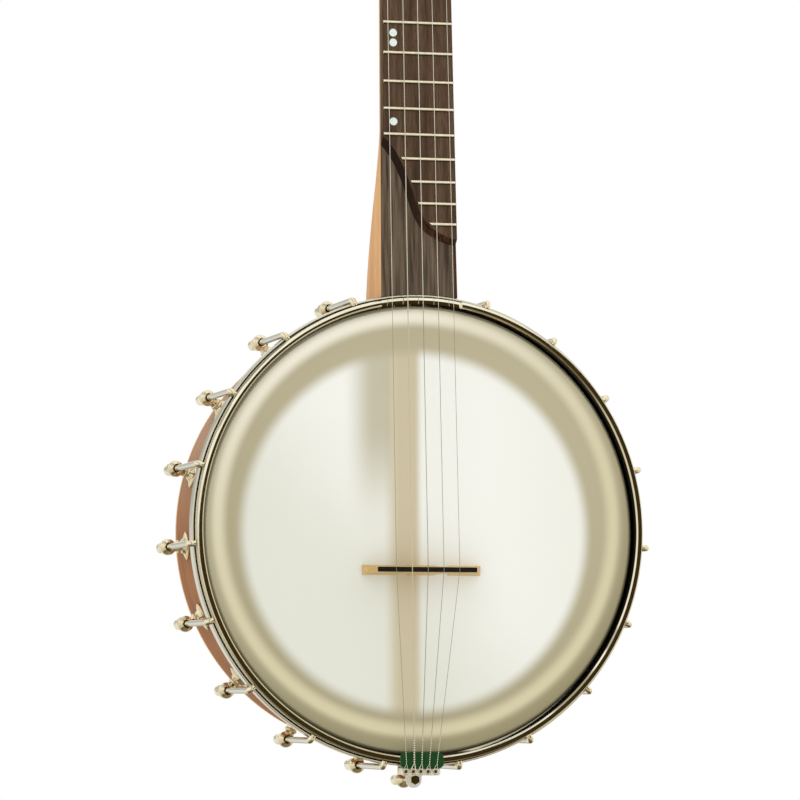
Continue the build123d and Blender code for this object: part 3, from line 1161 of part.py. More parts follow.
for string, plane in peg_planes.items():
    face = seat[string] - HOUSING_FLOOR
    gears_low, gears_high = seat[string] - gear_back, seat[string] - gear_front
    disc_low = gears_high + END_PLAY
    r = STRING_R[string]

    # Post turned by the planet carrier: disc, two pins, waisted post and the string's turns.
    with BuildPart() as post:
        carrier_r = ring_pitch_r - (GEAR_ADDENDUM + CARRIER_CLEARANCE) * GEAR_MODULE
        disc(plane, carrier_r, disc_low, disc_low + CARRIER_THICKNESS)
        for side in (-1, 1):
            pin = Plane(plane.from_local_coords((side * arm_r, 0, 0)), x_dir=plane.x_dir, z_dir=plane.z_dir)
            disc(pin, PIN_R, gears_low, disc_low)
        turns_high = winding[string] + 2 * r * WINDING_TURNS
        if string == 5:
            disc(plane, POST_WAIST_R, disc_low, post_tip[string])
        else:
            waist_low, waist_high = winding[string] - WAIST_START, turns_high + WAIST_END
            disc(plane, POST_R, disc_low, waist_low)
            disc(plane, POST_WAIST_R, waist_low, waist_high)
            disc(plane, POST_R, waist_high, post_tip[string] - POST_RIM)
            disc(plane, POST_WAIST_R, post_tip[string] - POST_RIM, post_tip[string])
        disc(plane, POST_WAIST_R + WINDING_WIDTH * r, winding[string], turns_high)
    keep(post, f"peg_post_{string}")

    # Two planet gears between the sun and the ring.
    for side, name in ((1, "a"), (-1, "b")):
        with BuildPart() as planet:
            gear(plane, PLANET_TEETH, 180 / PLANET_TEETH, gears_low, gears_high, (side * arm_r, 0))
            pin = Plane(plane.from_local_coords((side * arm_r, 0, 0)), x_dir=plane.x_dir, z_dir=plane.z_dir)
            disc(pin, PIN_R + FIT, gears_low, gears_high, Mode.SUBTRACT)
        keep(planet, f"planet_{name}_{string}")

    # Input shaft with the sun gear cut on its end.
    with BuildPart() as shaft:
        gear(plane, SUN_TEETH, 0, gears_low, gears_high)
        disc(plane, PEG_SHAFT_R, seat[string] - knob_back, gears_low)
    keep(shaft, f"peg_shaft_{string}")

    # Round knob pressed on the shaft.
    with BuildPart() as knob:
        front, back = seat[string] - knob_front, seat[string] - knob_back
        outline = [(radius * KNOB_R, front - depth) for radius, depth in KNOB_PROFILE]
        bore_r = PEG_SHAFT_R + PRESS_GAP
        turned(plane, [(bore_r, front), *outline, (bore_r, back)])
    keep(knob, f"peg_knob_{string}")
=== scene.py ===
"""Looks of an open-back five-string banjo, built on the frame of its CAD model.

Lengths are in millimetres, in the row frame: +Z runs up the neck, -Y is the playing side.
"""
import math

import bpy
from mathutils import Matrix, Vector


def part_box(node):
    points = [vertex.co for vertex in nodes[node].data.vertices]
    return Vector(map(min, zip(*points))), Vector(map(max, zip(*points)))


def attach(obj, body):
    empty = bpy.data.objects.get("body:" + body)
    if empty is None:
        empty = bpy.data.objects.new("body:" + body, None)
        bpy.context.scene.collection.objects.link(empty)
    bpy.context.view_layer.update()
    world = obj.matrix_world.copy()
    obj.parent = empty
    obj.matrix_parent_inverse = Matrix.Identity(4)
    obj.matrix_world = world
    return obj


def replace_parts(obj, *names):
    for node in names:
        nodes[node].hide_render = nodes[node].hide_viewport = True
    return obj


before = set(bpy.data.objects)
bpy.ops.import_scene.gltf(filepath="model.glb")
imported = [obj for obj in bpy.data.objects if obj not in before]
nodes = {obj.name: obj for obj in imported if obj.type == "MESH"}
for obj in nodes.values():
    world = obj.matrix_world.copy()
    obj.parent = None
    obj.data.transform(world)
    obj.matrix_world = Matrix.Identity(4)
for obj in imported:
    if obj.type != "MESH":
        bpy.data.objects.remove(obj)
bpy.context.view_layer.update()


# ---------------------------------------------------------------------------------------------
# Rim: the round wooden pot, bent from thin plies of a reddish hardwood that run round it, and
# finished with a thin satin oil. Its upper left is painted paler as a painted sheen, and a painted
# highlight runs along its back edge. All of the pot is fixed to it.

class Signal:
    """One socket of a finish's nodes, which adds and multiplies with numbers and other signals."""

    def __init__(self, finish, socket):
        self.finish = finish
        self.socket = socket
        self.maths = "VectorMath" if socket.type == "VECTOR" else "Math"

    def apply(self, operation, *others, output=0):
        """A maths node with this signal first."""
        return self.finish.node(self.maths, {"operation": operation},
                                dict(enumerate((self, *others))), output)

    def reversed(self, operation, other):
        """A maths node with the other value first."""
        return self.finish.node(self.maths, {"operation": operation}, {0: other, 1: self})

    def __add__(self, other):
        return self.apply("ADD", other)

    def __radd__(self, other):
        return self.reversed("ADD", other)

    def __sub__(self, other):
        return self.apply("SUBTRACT", other)

    def __rsub__(self, other):
        return self.reversed("SUBTRACT", other)

    def __mul__(self, other):
        if self.maths == "VectorMath" and isinstance(other, (int, float)):
            other = (other, other, other)
        return self.apply("MULTIPLY", other)

    def __rmul__(self, other):
        return self * other

    def __truediv__(self, other):
        return self.apply("DIVIDE", other)

    def __rtruediv__(self, other):
        return self.reversed("DIVIDE", other)

    def __pow__(self, other):
        return self.apply("POWER", other)

    def __abs__(self):
        return self.apply("ABSOLUTE")

    def sin(self):
        return self.apply("SINE")

    def cos(self):
        return self.apply("COSINE")

    def dot(self, other):
        return self.apply("DOT_PRODUCT", other, output="Value")

    def parts(self):
        """The three numbers of a vector signal."""
        return [self.finish.node("SeparateXYZ", inputs={0: self}, output=k) for k in range(3)]

    def fade(self, low, high):
        """0 below low and 1 above high, or the other way round if low is the larger."""
        return self.finish.node("MapRange", {"interpolation_type": "SMOOTHSTEP"},
                                {"Value": self, "From Min": low, "From Max": high})

    def ramp(self, *stops):
        """A colour for each value from 0 to 1, from (value, colour) stops."""
        return self.finish.node("ValToRGB", inputs={0: self}, stops=stops)

    def mix(self, first, second):
        """From the first colour to the second as this signal goes from 0 to 1."""
        return self.finish.node("Mix", {"data_type": "RGBA"}, {0: self, 6: first, 7: second}, 2)

    def noise(self, scale=1.0, detail=2.0, roughness=0.5, distortion=0.0):
        """Soft noise of about 0 to 1 at this vector."""
        return self.finish.node("TexNoise", inputs={
            "Vector": self, "Scale": scale, "Detail": detail, "Roughness": roughness,
            "Distortion": distortion})


class Finish:
    """A material made of nodes round one Principled shader."""

    def __init__(self, name, **constants):
        self.material = bpy.data.materials.new(name)
        self.material.use_nodes = True
        self.tree = self.material.node_tree
        self.shader = self.tree.nodes["Principled BSDF"]
        for constant, value in constants.items():
            socket = constant.replace("_", " ").title().replace("Ior", "IOR")
            self.shader.inputs[socket].default_value = value

    def node(self, kind, settings=None, inputs=None, output=0, stops=()):
        """A new node from its settings, ramp stops and inputs (values or signals): its output."""
        made = self.tree.nodes.new("ShaderNode" + kind)
        for name, value in (settings or {}).items():
            setattr(made, name, value)
        for k, (position, colour) in enumerate(stops):
            if k > 1:
                made.color_ramp.elements.new(position)
            made.color_ramp.elements[k].position = position
            made.color_ramp.elements[k].color = colour
        for name, value in (inputs or {}).items():
            if isinstance(value, Signal):
                self.tree.links.new(value.socket, made.inputs[name])
            else:
                made.inputs[name].default_value = value
        return Signal(self, made.outputs[output])

    def place(self):
        """The point on the piece in millimetres, in its own axes."""
        return self.node("TexCoord", output="Object") * 1000.0

    def facing(self):
        """The direction in which the surface faces."""
        return self.node("NewGeometry", output="Normal")

    def joined(self, x, y, z):
        """A vector signal from three numbers."""
        return self.node("CombineXYZ", inputs={0: x, 1: y, 2: z})

    def drive(self, socket, signal):
        """Lets a signal drive one of the shader's inputs."""
        self.tree.links.new(signal.socket, self.shader.inputs[socket])

    def relief(self, height, depth):
        """Bumps the surface by a height of 0 to 1 that is worth depth millimetres."""
        self.drive("Normal", self.node("Bump", inputs={
            "Height": height, "Distance": depth / 1000, "Strength": 1.0}))


def paint(red, green, blue):
    """A colour as seen, from 0 to 255, as linear light."""
    def linear(value):
        value /= 255
        return value / 12.92 if value <= 0.04045 else ((value + 0.055) / 1.055) ** 2.4
    return (linear(red), linear(green), linear(blue), 1.0)


def dress(finish, *names):
    """Gives CAD nodes this finish."""
    for name in names:
        if not nodes[name].material_slots:
            nodes[name].data.materials.append(None)
        for slot in nodes[name].material_slots:
            slot.material = finish.material


def ring_grain(finish, plies):
    """Wood grain that runs round the pot: broad slow bands, and fine streaks."""
    x, y, z = finish.place().parts()
    radius = (x * x + z * z) ** 0.5

    def along_ring(around, back, out):
        return finish.joined(x / radius * around, z / radius * around, y * back + radius * out)

    broad = along_ring(2.2, 0.55, plies)
    fine = along_ring(9.0, 3.2, plies * 4)
    return broad.noise(1.0, 4.0, 0.55, 0.6), fine.noise(1.0, 3.0, 0.6)


PALE_EDGE_Y = 81.4           # next to the cap the wood is painted paler, a painted highlight

rim_wood = Finish("rim wood", roughness=0.5, specular_ior_level=0.2)
bands, streaks = ring_grain(rim_wood, 0.8)
rim_colour = bands.ramp((0.30, paint(148, 90, 44)), (0.5, paint(168, 108, 56)),
                        (0.72, paint(188, 128, 74)))
rim_colour = (streaks.fade(0.38, 0.62) * 0.55).mix(rim_colour, paint(136, 78, 36))
x, y, z = rim_wood.place().parts()
# painted sheen: the upper left is painted paler
painted_sheen = (z * 0.9 - x * 0.5).fade(60.0, 130.0) * 0.35
rim_colour = painted_sheen.mix(rim_colour, paint(214, 190, 170))
# painted highlight along the wood next to the cap
painted_edge_highlight = y.fade(PALE_EDGE_Y, PALE_EDGE_Y + 1.0)
rim_wood.drive("Base Color", painted_edge_highlight.mix(rim_colour, paint(236, 196, 142)))
rim_wood.relief(streaks, 0.03)
dress(rim_wood, "rim")


# ---------------------------------------------------------------------------------------------
# Rim cap: a thin ring of pale hardwood glued to the rim's back edge, its corners rounded over
# and sanded smooth, with a little more gloss than the rim.

cap_wood = Finish("cap wood", roughness=0.4, coat_weight=0.12, coat_roughness=0.25)
bands, streaks = ring_grain(cap_wood, 1.4)
cap_wood.drive("Base Color", bands.ramp((0.3, paint(214, 168, 112)), (0.7, paint(238, 202, 152))))
cap_wood.relief(streaks, 0.02)
dress(cap_wood, "rim_cap")


# ---------------------------------------------------------------------------------------------
# Tone ring: a round brass rod bent into a ring and laid in a step of the rim's front edge, under
# the head. It is left unlacquered and has tarnished in patches.

brass = Finish("brass", metallic=1.0, roughness=0.3)
tarnish = brass.place().noise(0.06, 4.0)
brass.drive("Base Color", tarnish.ramp((0.35, paint(205, 172, 104)), (0.7, paint(176, 138, 80))))
brass.drive("Roughness", tarnish * 0.25 + 0.2)
dress(brass, "tone_ring")


# ---------------------------------------------------------------------------------------------
# Head: a frosted translucent film, stretched over the tone ring. The rim's wall, the tone ring
# and the dowel stick, which the film lets show through, are painted into its colour as softened
# darker shapes, along with painted shade, painted highlights and a painted shadow where light
# falls.

STICK_LEFT = (-25.0, -13.0)  # where the stick's soft left edge starts and ends
STICK_RIGHT = (2.5, -3.5)    # and its sharper right edge
WALL_X, WALL_Z = -3.0, -1.5  # middle of the wall's shape behind the film
WALL_EDGE = (110.0, 120.5)   # the wall's soft inner edge
RING_LINE_R = 133.0          # the tone ring's line, and how far the light shifts it
RING_LINE_SHIFT = 4.5
CROWN_EDGE = (142.0, 143.9)  # where the film turns down towards the hoop
LIGHT_TURN = 0.35            # how far round from the neck the light comes, in radians

head_film = Finish("head film", roughness=0.5, specular_ior_level=0.35)
place = head_film.place()
x, _, z = place.parts()
angle = x.apply("ARCTAN2", z)
radius = (x * x + z * z) ** 0.5
speckle = place.noise(1.1, 5.0, 0.7)
cloud = place.noise(0.02, 2.0)

# the open middle, with painted shade that makes it a little darker towards the lower left and
# along the right
painted_corner_shade = ((x + z) * -0.0064 + cloud * 0.25).fade(-0.15, 0.75)
field = painted_corner_shade.mix(paint(245, 245, 237), paint(227, 228, 214))
field = (x.fade(40, 110) * 0.6).mix(field, paint(237, 237, 225))

# a painted shadow in the upper half, and beside it the dowel stick's painted shadow, as it would
# show through the film
shade = x.fade(-52, -30) * x.fade(-10, -22) * z.fade(-10, 70)
field = (shade * 0.85).mix(field, paint(186, 178, 147))
stick = x.fade(*STICK_LEFT) * x.fade(*STICK_RIGHT)
field = (stick * 0.92).mix(field, paint(202, 188, 151))

# painted shade of the rim's wall behind the film, then the tone ring's painted bright line, then
# the edge, painted with light and shade by where the light falls, and its painted shadow
from_middle = ((x - WALL_X) * (x - WALL_X) + (z - WALL_Z) * (z - WALL_Z)) ** 0.5
painted_wall_shade = (angle - 0.4).cos().fade(-1, 1).mix(paint(172, 162, 128), paint(186, 176, 144))
colour = from_middle.fade(*WALL_EDGE).mix(field, painted_wall_shade)
# painted highlight: the tone ring's line is painted brighter on the side towards the light
lit = ((angle + 0.42).cos() * 0.5 + 0.5) ** 4.0
painted_line_highlight = lit.mix(paint(216, 206, 168), paint(252, 246, 226))
to_light = (angle + LIGHT_TURN).cos()
from_line = radius - (to_light * RING_LINE_SHIFT + RING_LINE_R)
colour = abs(from_line).fade(8.5, 0.5).mix(colour, painted_line_highlight)
# painted light and shade: the edge is painted lighter towards the light and darker away from it
painted_edge_light = ((to_light * 0.5 + 0.5) ** 1.6).mix(paint(160, 150, 112), paint(221, 211, 176))
colour = from_line.fade(1.5, 8.5).mix(colour, painted_edge_light)
shadow = radius.fade(*CROWN_EDGE) * (to_light * -0.45 + 0.52)
colour = shadow.mix(colour, paint(40, 34, 10))
colour = (speckle.fade(0.3, 0.7) * 0.10).mix(colour, paint(200, 196, 178))
head_film.drive("Base Color", colour)
head_film.relief(speckle, 0.012)
dress(head_film, "head")


# ---------------------------------------------------------------------------------------------
# Tension hoop: a ring turned from brass and plated with nickel. The plate has a warm tint, faint
# polishing marks and a few dull smudges. The hoop's inside and its groove are painted nearly
# black as painted shade, and its outer wall beside the groove has a painted cream reflection.

def plated(name, bright, dull):
    """A nickel-plated finish, its colour, and the marks left by polishing."""
    finish = Finish(name, metallic=1.0, roughness=0.08)
    place = finish.place()
    x, y, z = place.parts()
    smudge = place.noise(0.05, 5.0, 0.6)
    marks = finish.joined(x * 0.15, y * 2.5, z * 0.15).noise(1.0, 4.0)
    finish.drive("Roughness", smudge.fade(0.5, 0.75) * 0.06 + marks * 0.04 + 0.03)
    return finish, smudge.ramp((0.3, bright), (0.75, dull)), marks


HOOP_INNER_R = 145.0
HOOP_WALL_R = 149.2          # outside of the raised front wall
HOOP_LIP_R = 150.2           # outside of the lip behind the groove
WALL_REFLECTION = (-5.2, -4.2)    # depth from which the outer wall has a painted reflection, cream with no metal
GROOVE_SHADE = (-0.9, -0.3)  # depth at which the groove is painted dark, as painted shade
HOOP_ROUND = 0.16            # how much the front wall seems to be domed

hoop_plate, colour, _ = plated("hoop plate", paint(254, 250, 236), paint(240, 233, 210))
x, y, z = hoop_plate.place().parts()
radius = (x * x + z * z) ** 0.5
colour = radius.fade(HOOP_LIP_R, HOOP_LIP_R + 0.2).mix(colour, paint(222, 221, 214))
painted_shade_black = paint(16, 14, 10)
# painted shade: the hoop's inside is painted nearly black
colour = radius.fade(HOOP_INNER_R + 0.25, HOOP_INNER_R + 0.05).mix(colour, painted_shade_black)
# painted reflection: the outer wall beside the groove is painted cream, with no metal
painted_wall_reflection = y.fade(*WALL_REFLECTION) * radius.fade(HOOP_WALL_R - 0.3, HOOP_WALL_R - 0.15)
painted_wall_reflection = painted_wall_reflection * radius.fade(HOOP_LIP_R + 0.12, HOOP_LIP_R + 0.02)
colour = painted_wall_reflection.mix(colour, paint(232, 224, 194))
hoop_plate.drive("Metallic", 1.0 - painted_wall_reflection)
# painted shade: the groove is painted black
hoop_plate.drive("Base Color", (painted_wall_reflection * y.fade(*GROOVE_SHADE)).mix(colour, painted_shade_black))
crown = (radius - (HOOP_INNER_R + HOOP_WALL_R) / 2) / ((HOOP_WALL_R - HOOP_INNER_R) / 2)
hoop_plate.relief(crown * crown * -1.0, HOOP_ROUND)
dress(hoop_plate, "tension_hoop")


# ---------------------------------------------------------------------------------------------
# Flesh hoop, bracket and tail hardware, tuners and neck brace: small plated brass and steel
# parts, turned, cast or stamped, and polished before the plating.

PEGS = range(1, 6)

nickel, colour, marks = plated("nickel", paint(250, 243, 222), paint(232, 222, 194))
nickel.drive("Base Color", colour)
nickel.relief(marks, 0.002)
dress(nickel, "flesh_hoop", "shoe_bolts", "hook_nuts", "neck_brace", "brace_screws", "end_bolt",
      "tail_hanger", "tail_bolt", "tuner_housings", "tuner_bushings", "tuner_nuts",
      "fifth_peg_cage", *(f"peg_post_{k}" for k in PEGS), *(f"peg_shaft_{k}" for k in PEGS))


# ---------------------------------------------------------------------------------------------
# Bracket shoes: eighteen cast brass shoes, bolted to the rim from inside. Each has a crowned
# leaf-shaped foot, a ringed stem and a ball, flatted and countersunk where the hook goes in.

class Shape:
    """The mesh of one piece, put together in millimetres."""

    def __init__(self):
        self.points = []
        self.faces = []

    def sheet(self, rows, around=False, along=False):
        """Quads between rows of points: around closes each row, along joins the last and first."""
        start, width = len(self.points), len(rows[0])
        self.points += [point for row in rows for point in row]
        for i in range(len(rows) - (0 if along else 1)):
            for j in range(width - (0 if around else 1)):
                low, high = i * width, (i + 1) % len(rows) * width
                side = (j + 1) % width
                self.faces.append([start + low + j, start + low + side,
                                   start + high + side, start + high + j])

    def turned(self, place, profile, sides=28, closed=False):
        """A profile of (height, radius) points turned about the Z axis of a placing matrix."""
        turns = [math.tau * k / sides for k in range(sides)]
        self.sheet([[place @ Vector((r * math.cos(t), r * math.sin(t), h)) for t in turns]
                    for h, r in profile], around=True, along=closed)

    def piece(self, name, body, finish, sharp=40):
        """Makes the object, with edges over so many degrees kept sharp, and lets it ride."""
        mesh = bpy.data.meshes.new(name)
        mesh.from_pydata([tuple(Vector(point) / 1000) for point in self.points], [], self.faces)
        mesh.validate()
        mesh.polygons.foreach_set("use_smooth", [True] * len(mesh.polygons))
        mesh.set_sharp_from_angle(angle=math.radians(sharp))
        mesh.materials.append(finish.material)
        made = bpy.data.objects.new(name, mesh)
        bpy.context.scene.collection.objects.link(made)
        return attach(made, body)


def frame_at(origin, across, out):
    """A placing matrix with its X axis across and its Z axis out."""
    across, out = Vector(across).normalized(), Vector(out).normalized()
    side = out.cross(across)
    return Matrix.Translation(Vector(origin)) @ Matrix((across, side, out)).transposed().to_4x4()


RIM_R = 139.7
BRACKET_COUNT = 18
NECK_GAP = 34.4              # degrees between the two brackets beside the neck
SHOE_Y = 56.5
BALL_AT = 152.3              # the ball's middle and the hook's leg, from the pot's axis
BALL_R = 5.3
HOOK_R = 153.55
HOOK_LEG_Y = -3.2
LEAN = math.atan2(HOOK_R - BALL_AT, SHOE_Y - HOOK_LEG_Y)
BORE_R = 2.2
COUNTERSINK_DEPTH = 0.7
COUNTERSINK_WIDTH = 0.3
FRONT_FLAT = 4.35            # the ball's flats, from its middle
BACK_FLAT = 4.7
BALL_STEPS = 16
FOOT_HALF_LENGTH = 9.1
FOOT_HALF_WIDTH = 7.2
LEAF_STEPS = 16              # along each side of the foot

front_turn = math.acos(FRONT_FLAT / BALL_R)
back_turn = math.pi - math.acos(BACK_FLAT / BALL_R)
ball_profile = [(-FRONT_FLAT + COUNTERSINK_DEPTH, BORE_R),
                (-FRONT_FLAT + 0.05, BORE_R + COUNTERSINK_WIDTH)]
for k in range(BALL_STEPS + 1):
    turn = front_turn + (back_turn - front_turn) * k / BALL_STEPS
    ball_profile.append((-BALL_R * math.cos(turn), BALL_R * math.sin(turn)))
ball_profile += [(BACK_FLAT, BORE_R), (0.0, BORE_R)]

# the stem's (height above the rim, radius), and the foot's (share of its outline, height)
stem_profile = [(1.6, 6.0), (2.4, 5.1), (3.1, 4.6), (3.6, 4.3), (3.9, 3.5), (4.8, 3.3), (5.1, 3.9),
                (5.5, 4.2), (6.1, 4.2), (6.5, 3.9), (6.8, 3.3), (8.8, 3.2)]
foot_rings = [(1.0, 0.1), (1.0, 0.9), (0.96, 1.15), (0.85, 1.5), (0.65, 1.95), (0.4, 2.3),
              (0.1, 2.4)]
arc_r = (FOOT_HALF_LENGTH ** 2 + FOOT_HALF_WIDTH ** 2) / (2 * FOOT_HALF_WIDTH)
leaf = []
for side in (1, -1):
    for k in range(LEAF_STEPS):
        reach = side * FOOT_HALF_LENGTH * math.cos(math.pi * k / LEAF_STEPS)
        leaf.append((reach, side * (math.sqrt(arc_r ** 2 - reach ** 2)
                                    - arc_r + FOOT_HALF_WIDTH)))

shoes = Shape()
for k in range(BRACKET_COUNT):
    turn = math.radians(NECK_GAP / 2 + (360 - NECK_GAP) / (BRACKET_COUNT - 1) * k)
    out = Vector((math.sin(turn), 0, math.cos(turn)))
    across = Vector((math.cos(turn), 0, -math.sin(turn)))
    hook_line = Vector((0, math.cos(LEAN), 0)) - out * math.sin(LEAN)
    ball_place = frame_at(out * BALL_AT + Vector((0, SHOE_Y, 0)), across, hook_line)
    shoes.turned(ball_place, ball_profile, closed=True)
    stem_place = frame_at(out * RIM_R + Vector((0, SHOE_Y, 0)), across, out)
    shoes.turned(stem_place, stem_profile)
    rings = []
    for size, height in foot_rings:
        ring = []
        for reach, width in leaf:
            along_rim = turn + reach * size / RIM_R
            ring.append(Vector((math.sin(along_rim), 0, math.cos(along_rim)))
                        * (RIM_R + height) + Vector((0, SHOE_Y + width * size, 0)))
        rings.append(ring)
    shoes.sheet(rings, around=True)
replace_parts(shoes.piece("shoes", "root", nickel), "bracket_shoes")


# ---------------------------------------------------------------------------------------------
# Bracket hooks: drawn steel rods, greyer than the cast parts, that hook over the tension hoop.
# The bent end is coloured warmer; a painted highlight runs along the leg, and its underside has
# painted shade.

HOOK_BEND = (2.0, -1.0)      # depth over which the leg becomes the bent end
HIGHLIGHT_WAY = (-0.5, 0.0, -0.87)

hook_steel, colour, marks = plated("hook steel", paint(226, 226, 220), paint(206, 206, 198))
bend = hook_steel.place().parts()[1].fade(*HOOK_BEND)
colour = bend.mix(colour, paint(250, 240, 214))
facing = hook_steel.facing()
# painted shade on the underside, and a painted highlight along the leg
painted_under_shade = facing.dot((0.0, 0.0, -1.0)).fade(0.45, 0.9) * 0.75
streak = abs(facing.dot(HIGHLIGHT_WAY) - 0.35).fade(0.22, 0.08)
colour = streak.mix(colour, paint(255, 255, 252))
hook_steel.drive("Base Color", painted_under_shade.mix(colour, paint(96, 84, 58)))
hook_steel.relief(marks, 0.002)
dress(hook_steel, "hook_bolts")


# ---------------------------------------------------------------------------------------------
# Neck and dowel stick: both of one light orange-brown hardwood. The neck is carved with its heel
# and peghead in one piece, and the square stick runs from the heel through the pot.

def long_grain(finish, along, across, scale=1.0):
    """Wood grain along a direction: broad figure and fine pores, each about 0 to 1."""
    place = finish.place()
    run = place.dot(tuple(along))
    flat = place.dot(tuple(across))
    deep = place.dot(tuple(Vector(along).cross(Vector(across))))

    def stretched(length, width):
        return finish.joined(run * length * scale, flat * width * scale, deep * width * scale)

    broad = stretched(0.006, 0.09)
    pores = stretched(0.07, 1.9)
    return broad.noise(1.0, 4.0, 0.55, 0.9), pores.noise(1.0, 3.0, 0.6)


NECK_LEAN = math.radians(2.38)
neck_up = Vector((0, math.sin(NECK_LEAN), math.cos(NECK_LEAN)))

neck_wood = Finish("neck wood", roughness=0.38, coat_weight=0.15, coat_roughness=0.22)
figure, pores = long_grain(neck_wood, neck_up, (1, 0, 0))
neck_colour = figure.ramp((0.28, paint(212, 144, 78)), (0.5, paint(228, 168, 96)),
                          (0.75, paint(240, 188, 118)))
neck_colour = (pores.fade(0.42, 0.66) * 0.35).mix(neck_colour, paint(188, 120, 64))
neck_wood.drive("Base Color", neck_colour)
neck_wood.relief(pores, 0.02)
dress(neck_wood, "dowel_stick", "neck")


# ---------------------------------------------------------------------------------------------
# Bridge: a pale maple blank on three feet, with a thin ebony strip glued on for the strings,
# which hold it on the head. The truss rod's cover on the peghead is cut from ebony too.

maple = Finish("maple", roughness=0.5, coat_weight=0.05)
figure, pores = long_grain(maple, (1, 0, 0), (0, 0, 1), 2.5)
maple.drive("Base Color", figure.ramp((0.3, paint(198, 160, 94)), (0.7, paint(222, 190, 126))))
maple.relief(pores, 0.015)
dress(maple, "bridge_base")

ebony = Finish("ebony", roughness=0.5, specular_ior_level=0.15)
pores = long_grain(ebony, (1, 0, 0), (0, 0, 1), 2.0)[1]
ebony.drive("Base Color", pores.ramp((0.4, paint(14, 11, 8)), (0.75, paint(40, 32, 26))))
ebony.relief(pores, 0.01)
dress(ebony, "bridge_cap", "truss_cover")


# ---------------------------------------------------------------------------------------------
# Fretboard and peghead face: dark, open-pored rosewood, planed flat and oiled. The fretboard's
# lower end is carved into a scoop over the pot; the step where it leaves the flat, and the board's
# sides along the scoop, have painted shade.

NECK_ORIGIN = Vector((0, -4.81, 140))  # where the board's face meets the pot
SCOOP_END = (262.0, 250.0)   # the scoop's upper end
STEP_HEIGHT = (-0.15, -0.5)  # height above the board's face at which the step starts
FLOOR_HEIGHT = (-3.9, -4.15)
lean_out = Vector((0, -math.cos(NECK_LEAN), math.sin(NECK_LEAN)))

rosewood = Finish("rosewood", roughness=0.55, specular_ior_level=0.2)
figure, pores = long_grain(rosewood, neck_up, (1, 0, 0), 1.6)
board_colour = figure.ramp((0.28, paint(60, 40, 26)), (0.45, paint(86, 63, 43)),
                           (0.6, paint(98, 75, 54)), (0.78, paint(118, 93, 69)))
board_colour = (pores.fade(0.45, 0.64) * 0.75).mix(board_colour, paint(52, 35, 26))
place = rosewood.place()
x, y, z = place.parts()
height = (place - tuple(NECK_ORIGIN)).dot(tuple(lean_out))
streaks = rosewood.joined(x * 0.5, y * 0.5, z * 0.012).noise(1.0, 4.0)
floor_colour = streaks.ramp((0.3, paint(56, 42, 31)), (0.5, paint(90, 75, 59)),
                            (0.7, paint(114, 99, 82)))
# painted shade on the scoop's step, darker further up the neck
painted_step_shade = streaks.ramp((0.4, paint(44, 20, 8)), (0.7, paint(104, 62, 28)))
painted_step_shade = z.fade(172.0, 222.0).mix(painted_step_shade, paint(34, 15, 6))
scooped = z.fade(*SCOOP_END)
board_colour = (height.fade(*STEP_HEIGHT) * scooped).mix(board_colour, painted_step_shade)
board_colour = (height.fade(*FLOOR_HEIGHT) * scooped).mix(board_colour, floor_colour)
# painted shade on the board's sides along the scoop
edge = abs(rosewood.facing().parts()[0]).fade(0.93, 0.98)
rosewood.drive("Base Color", (edge * scooped).mix(board_colour, paint(38, 20, 9)))
rosewood.relief(pores, 0.05)
dress(rosewood, "fretboard", "peghead_overlay")


# ---------------------------------------------------------------------------------------------
# Frets and position dots: nickel-silver wire pressed in across the board, with painted shade on
# the side away from the light, and small discs of shell let into its face.

fret_metal = Finish("fret metal", metallic=0.45, roughness=0.35)
wear = fret_metal.place().noise(0.4, 3.0)
colour = wear.ramp((0.35, paint(255, 249, 222)), (0.7, paint(244, 234, 200)))
painted_flank_shade = fret_metal.facing().dot(tuple(neck_up)).fade(-0.15, -0.6)
fret_metal.drive("Base Color", painted_flank_shade.mix(colour, paint(70, 46, 24)))
dress(fret_metal, "frets")

pearl = Finish("shell", roughness=0.18, coat_weight=0.5)
sheen = pearl.place().noise(0.9, 3.0, 0.5, 1.2)
pearl.drive("Base Color", sheen.ramp((0.3, paint(178, 208, 196)), (0.5, paint(238, 246, 238)),
                                     (0.7, paint(200, 222, 216))))
dress(pearl, "inlay_dots")


# ---------------------------------------------------------------------------------------------
# Nuts: two small pieces of polished bone that space the strings, one glued across the top of
# the fretboard and one set in its edge for the short fifth string.

bone = Finish("bone", roughness=0.35)
speck = bone.place().noise(1.2, 4.0)
bone.drive("Base Color", speck.ramp((0.3, paint(232, 224, 202)), (0.7, paint(246, 240, 224))))
dress(bone, "nut", "fifth_nut")


# ---------------------------------------------------------------------------------------------
# Truss rod and peg gears: plain steel. One rod lies in the neck under the fretboard, and each
# peg has two small planet gears, cut from bar, inside its housing.

steel = Finish("steel", metallic=1.0, roughness=0.28)
cut = steel.place().noise(0.8, 3.0)
steel.drive("Base Color", cut.ramp((0.35, paint(196, 197, 198)), (0.7, paint(168, 170, 172))))
dress(steel, "truss_rod", *(f"planet_{side}_{k}" for side in "ab" for k in PEGS))


# ---------------------------------------------------------------------------------------------
# Strings: four plain steel wires and one wound, each looped on a post of the tailpiece, twisted
# round itself there, and drawn over the bridge and nut to its peg.

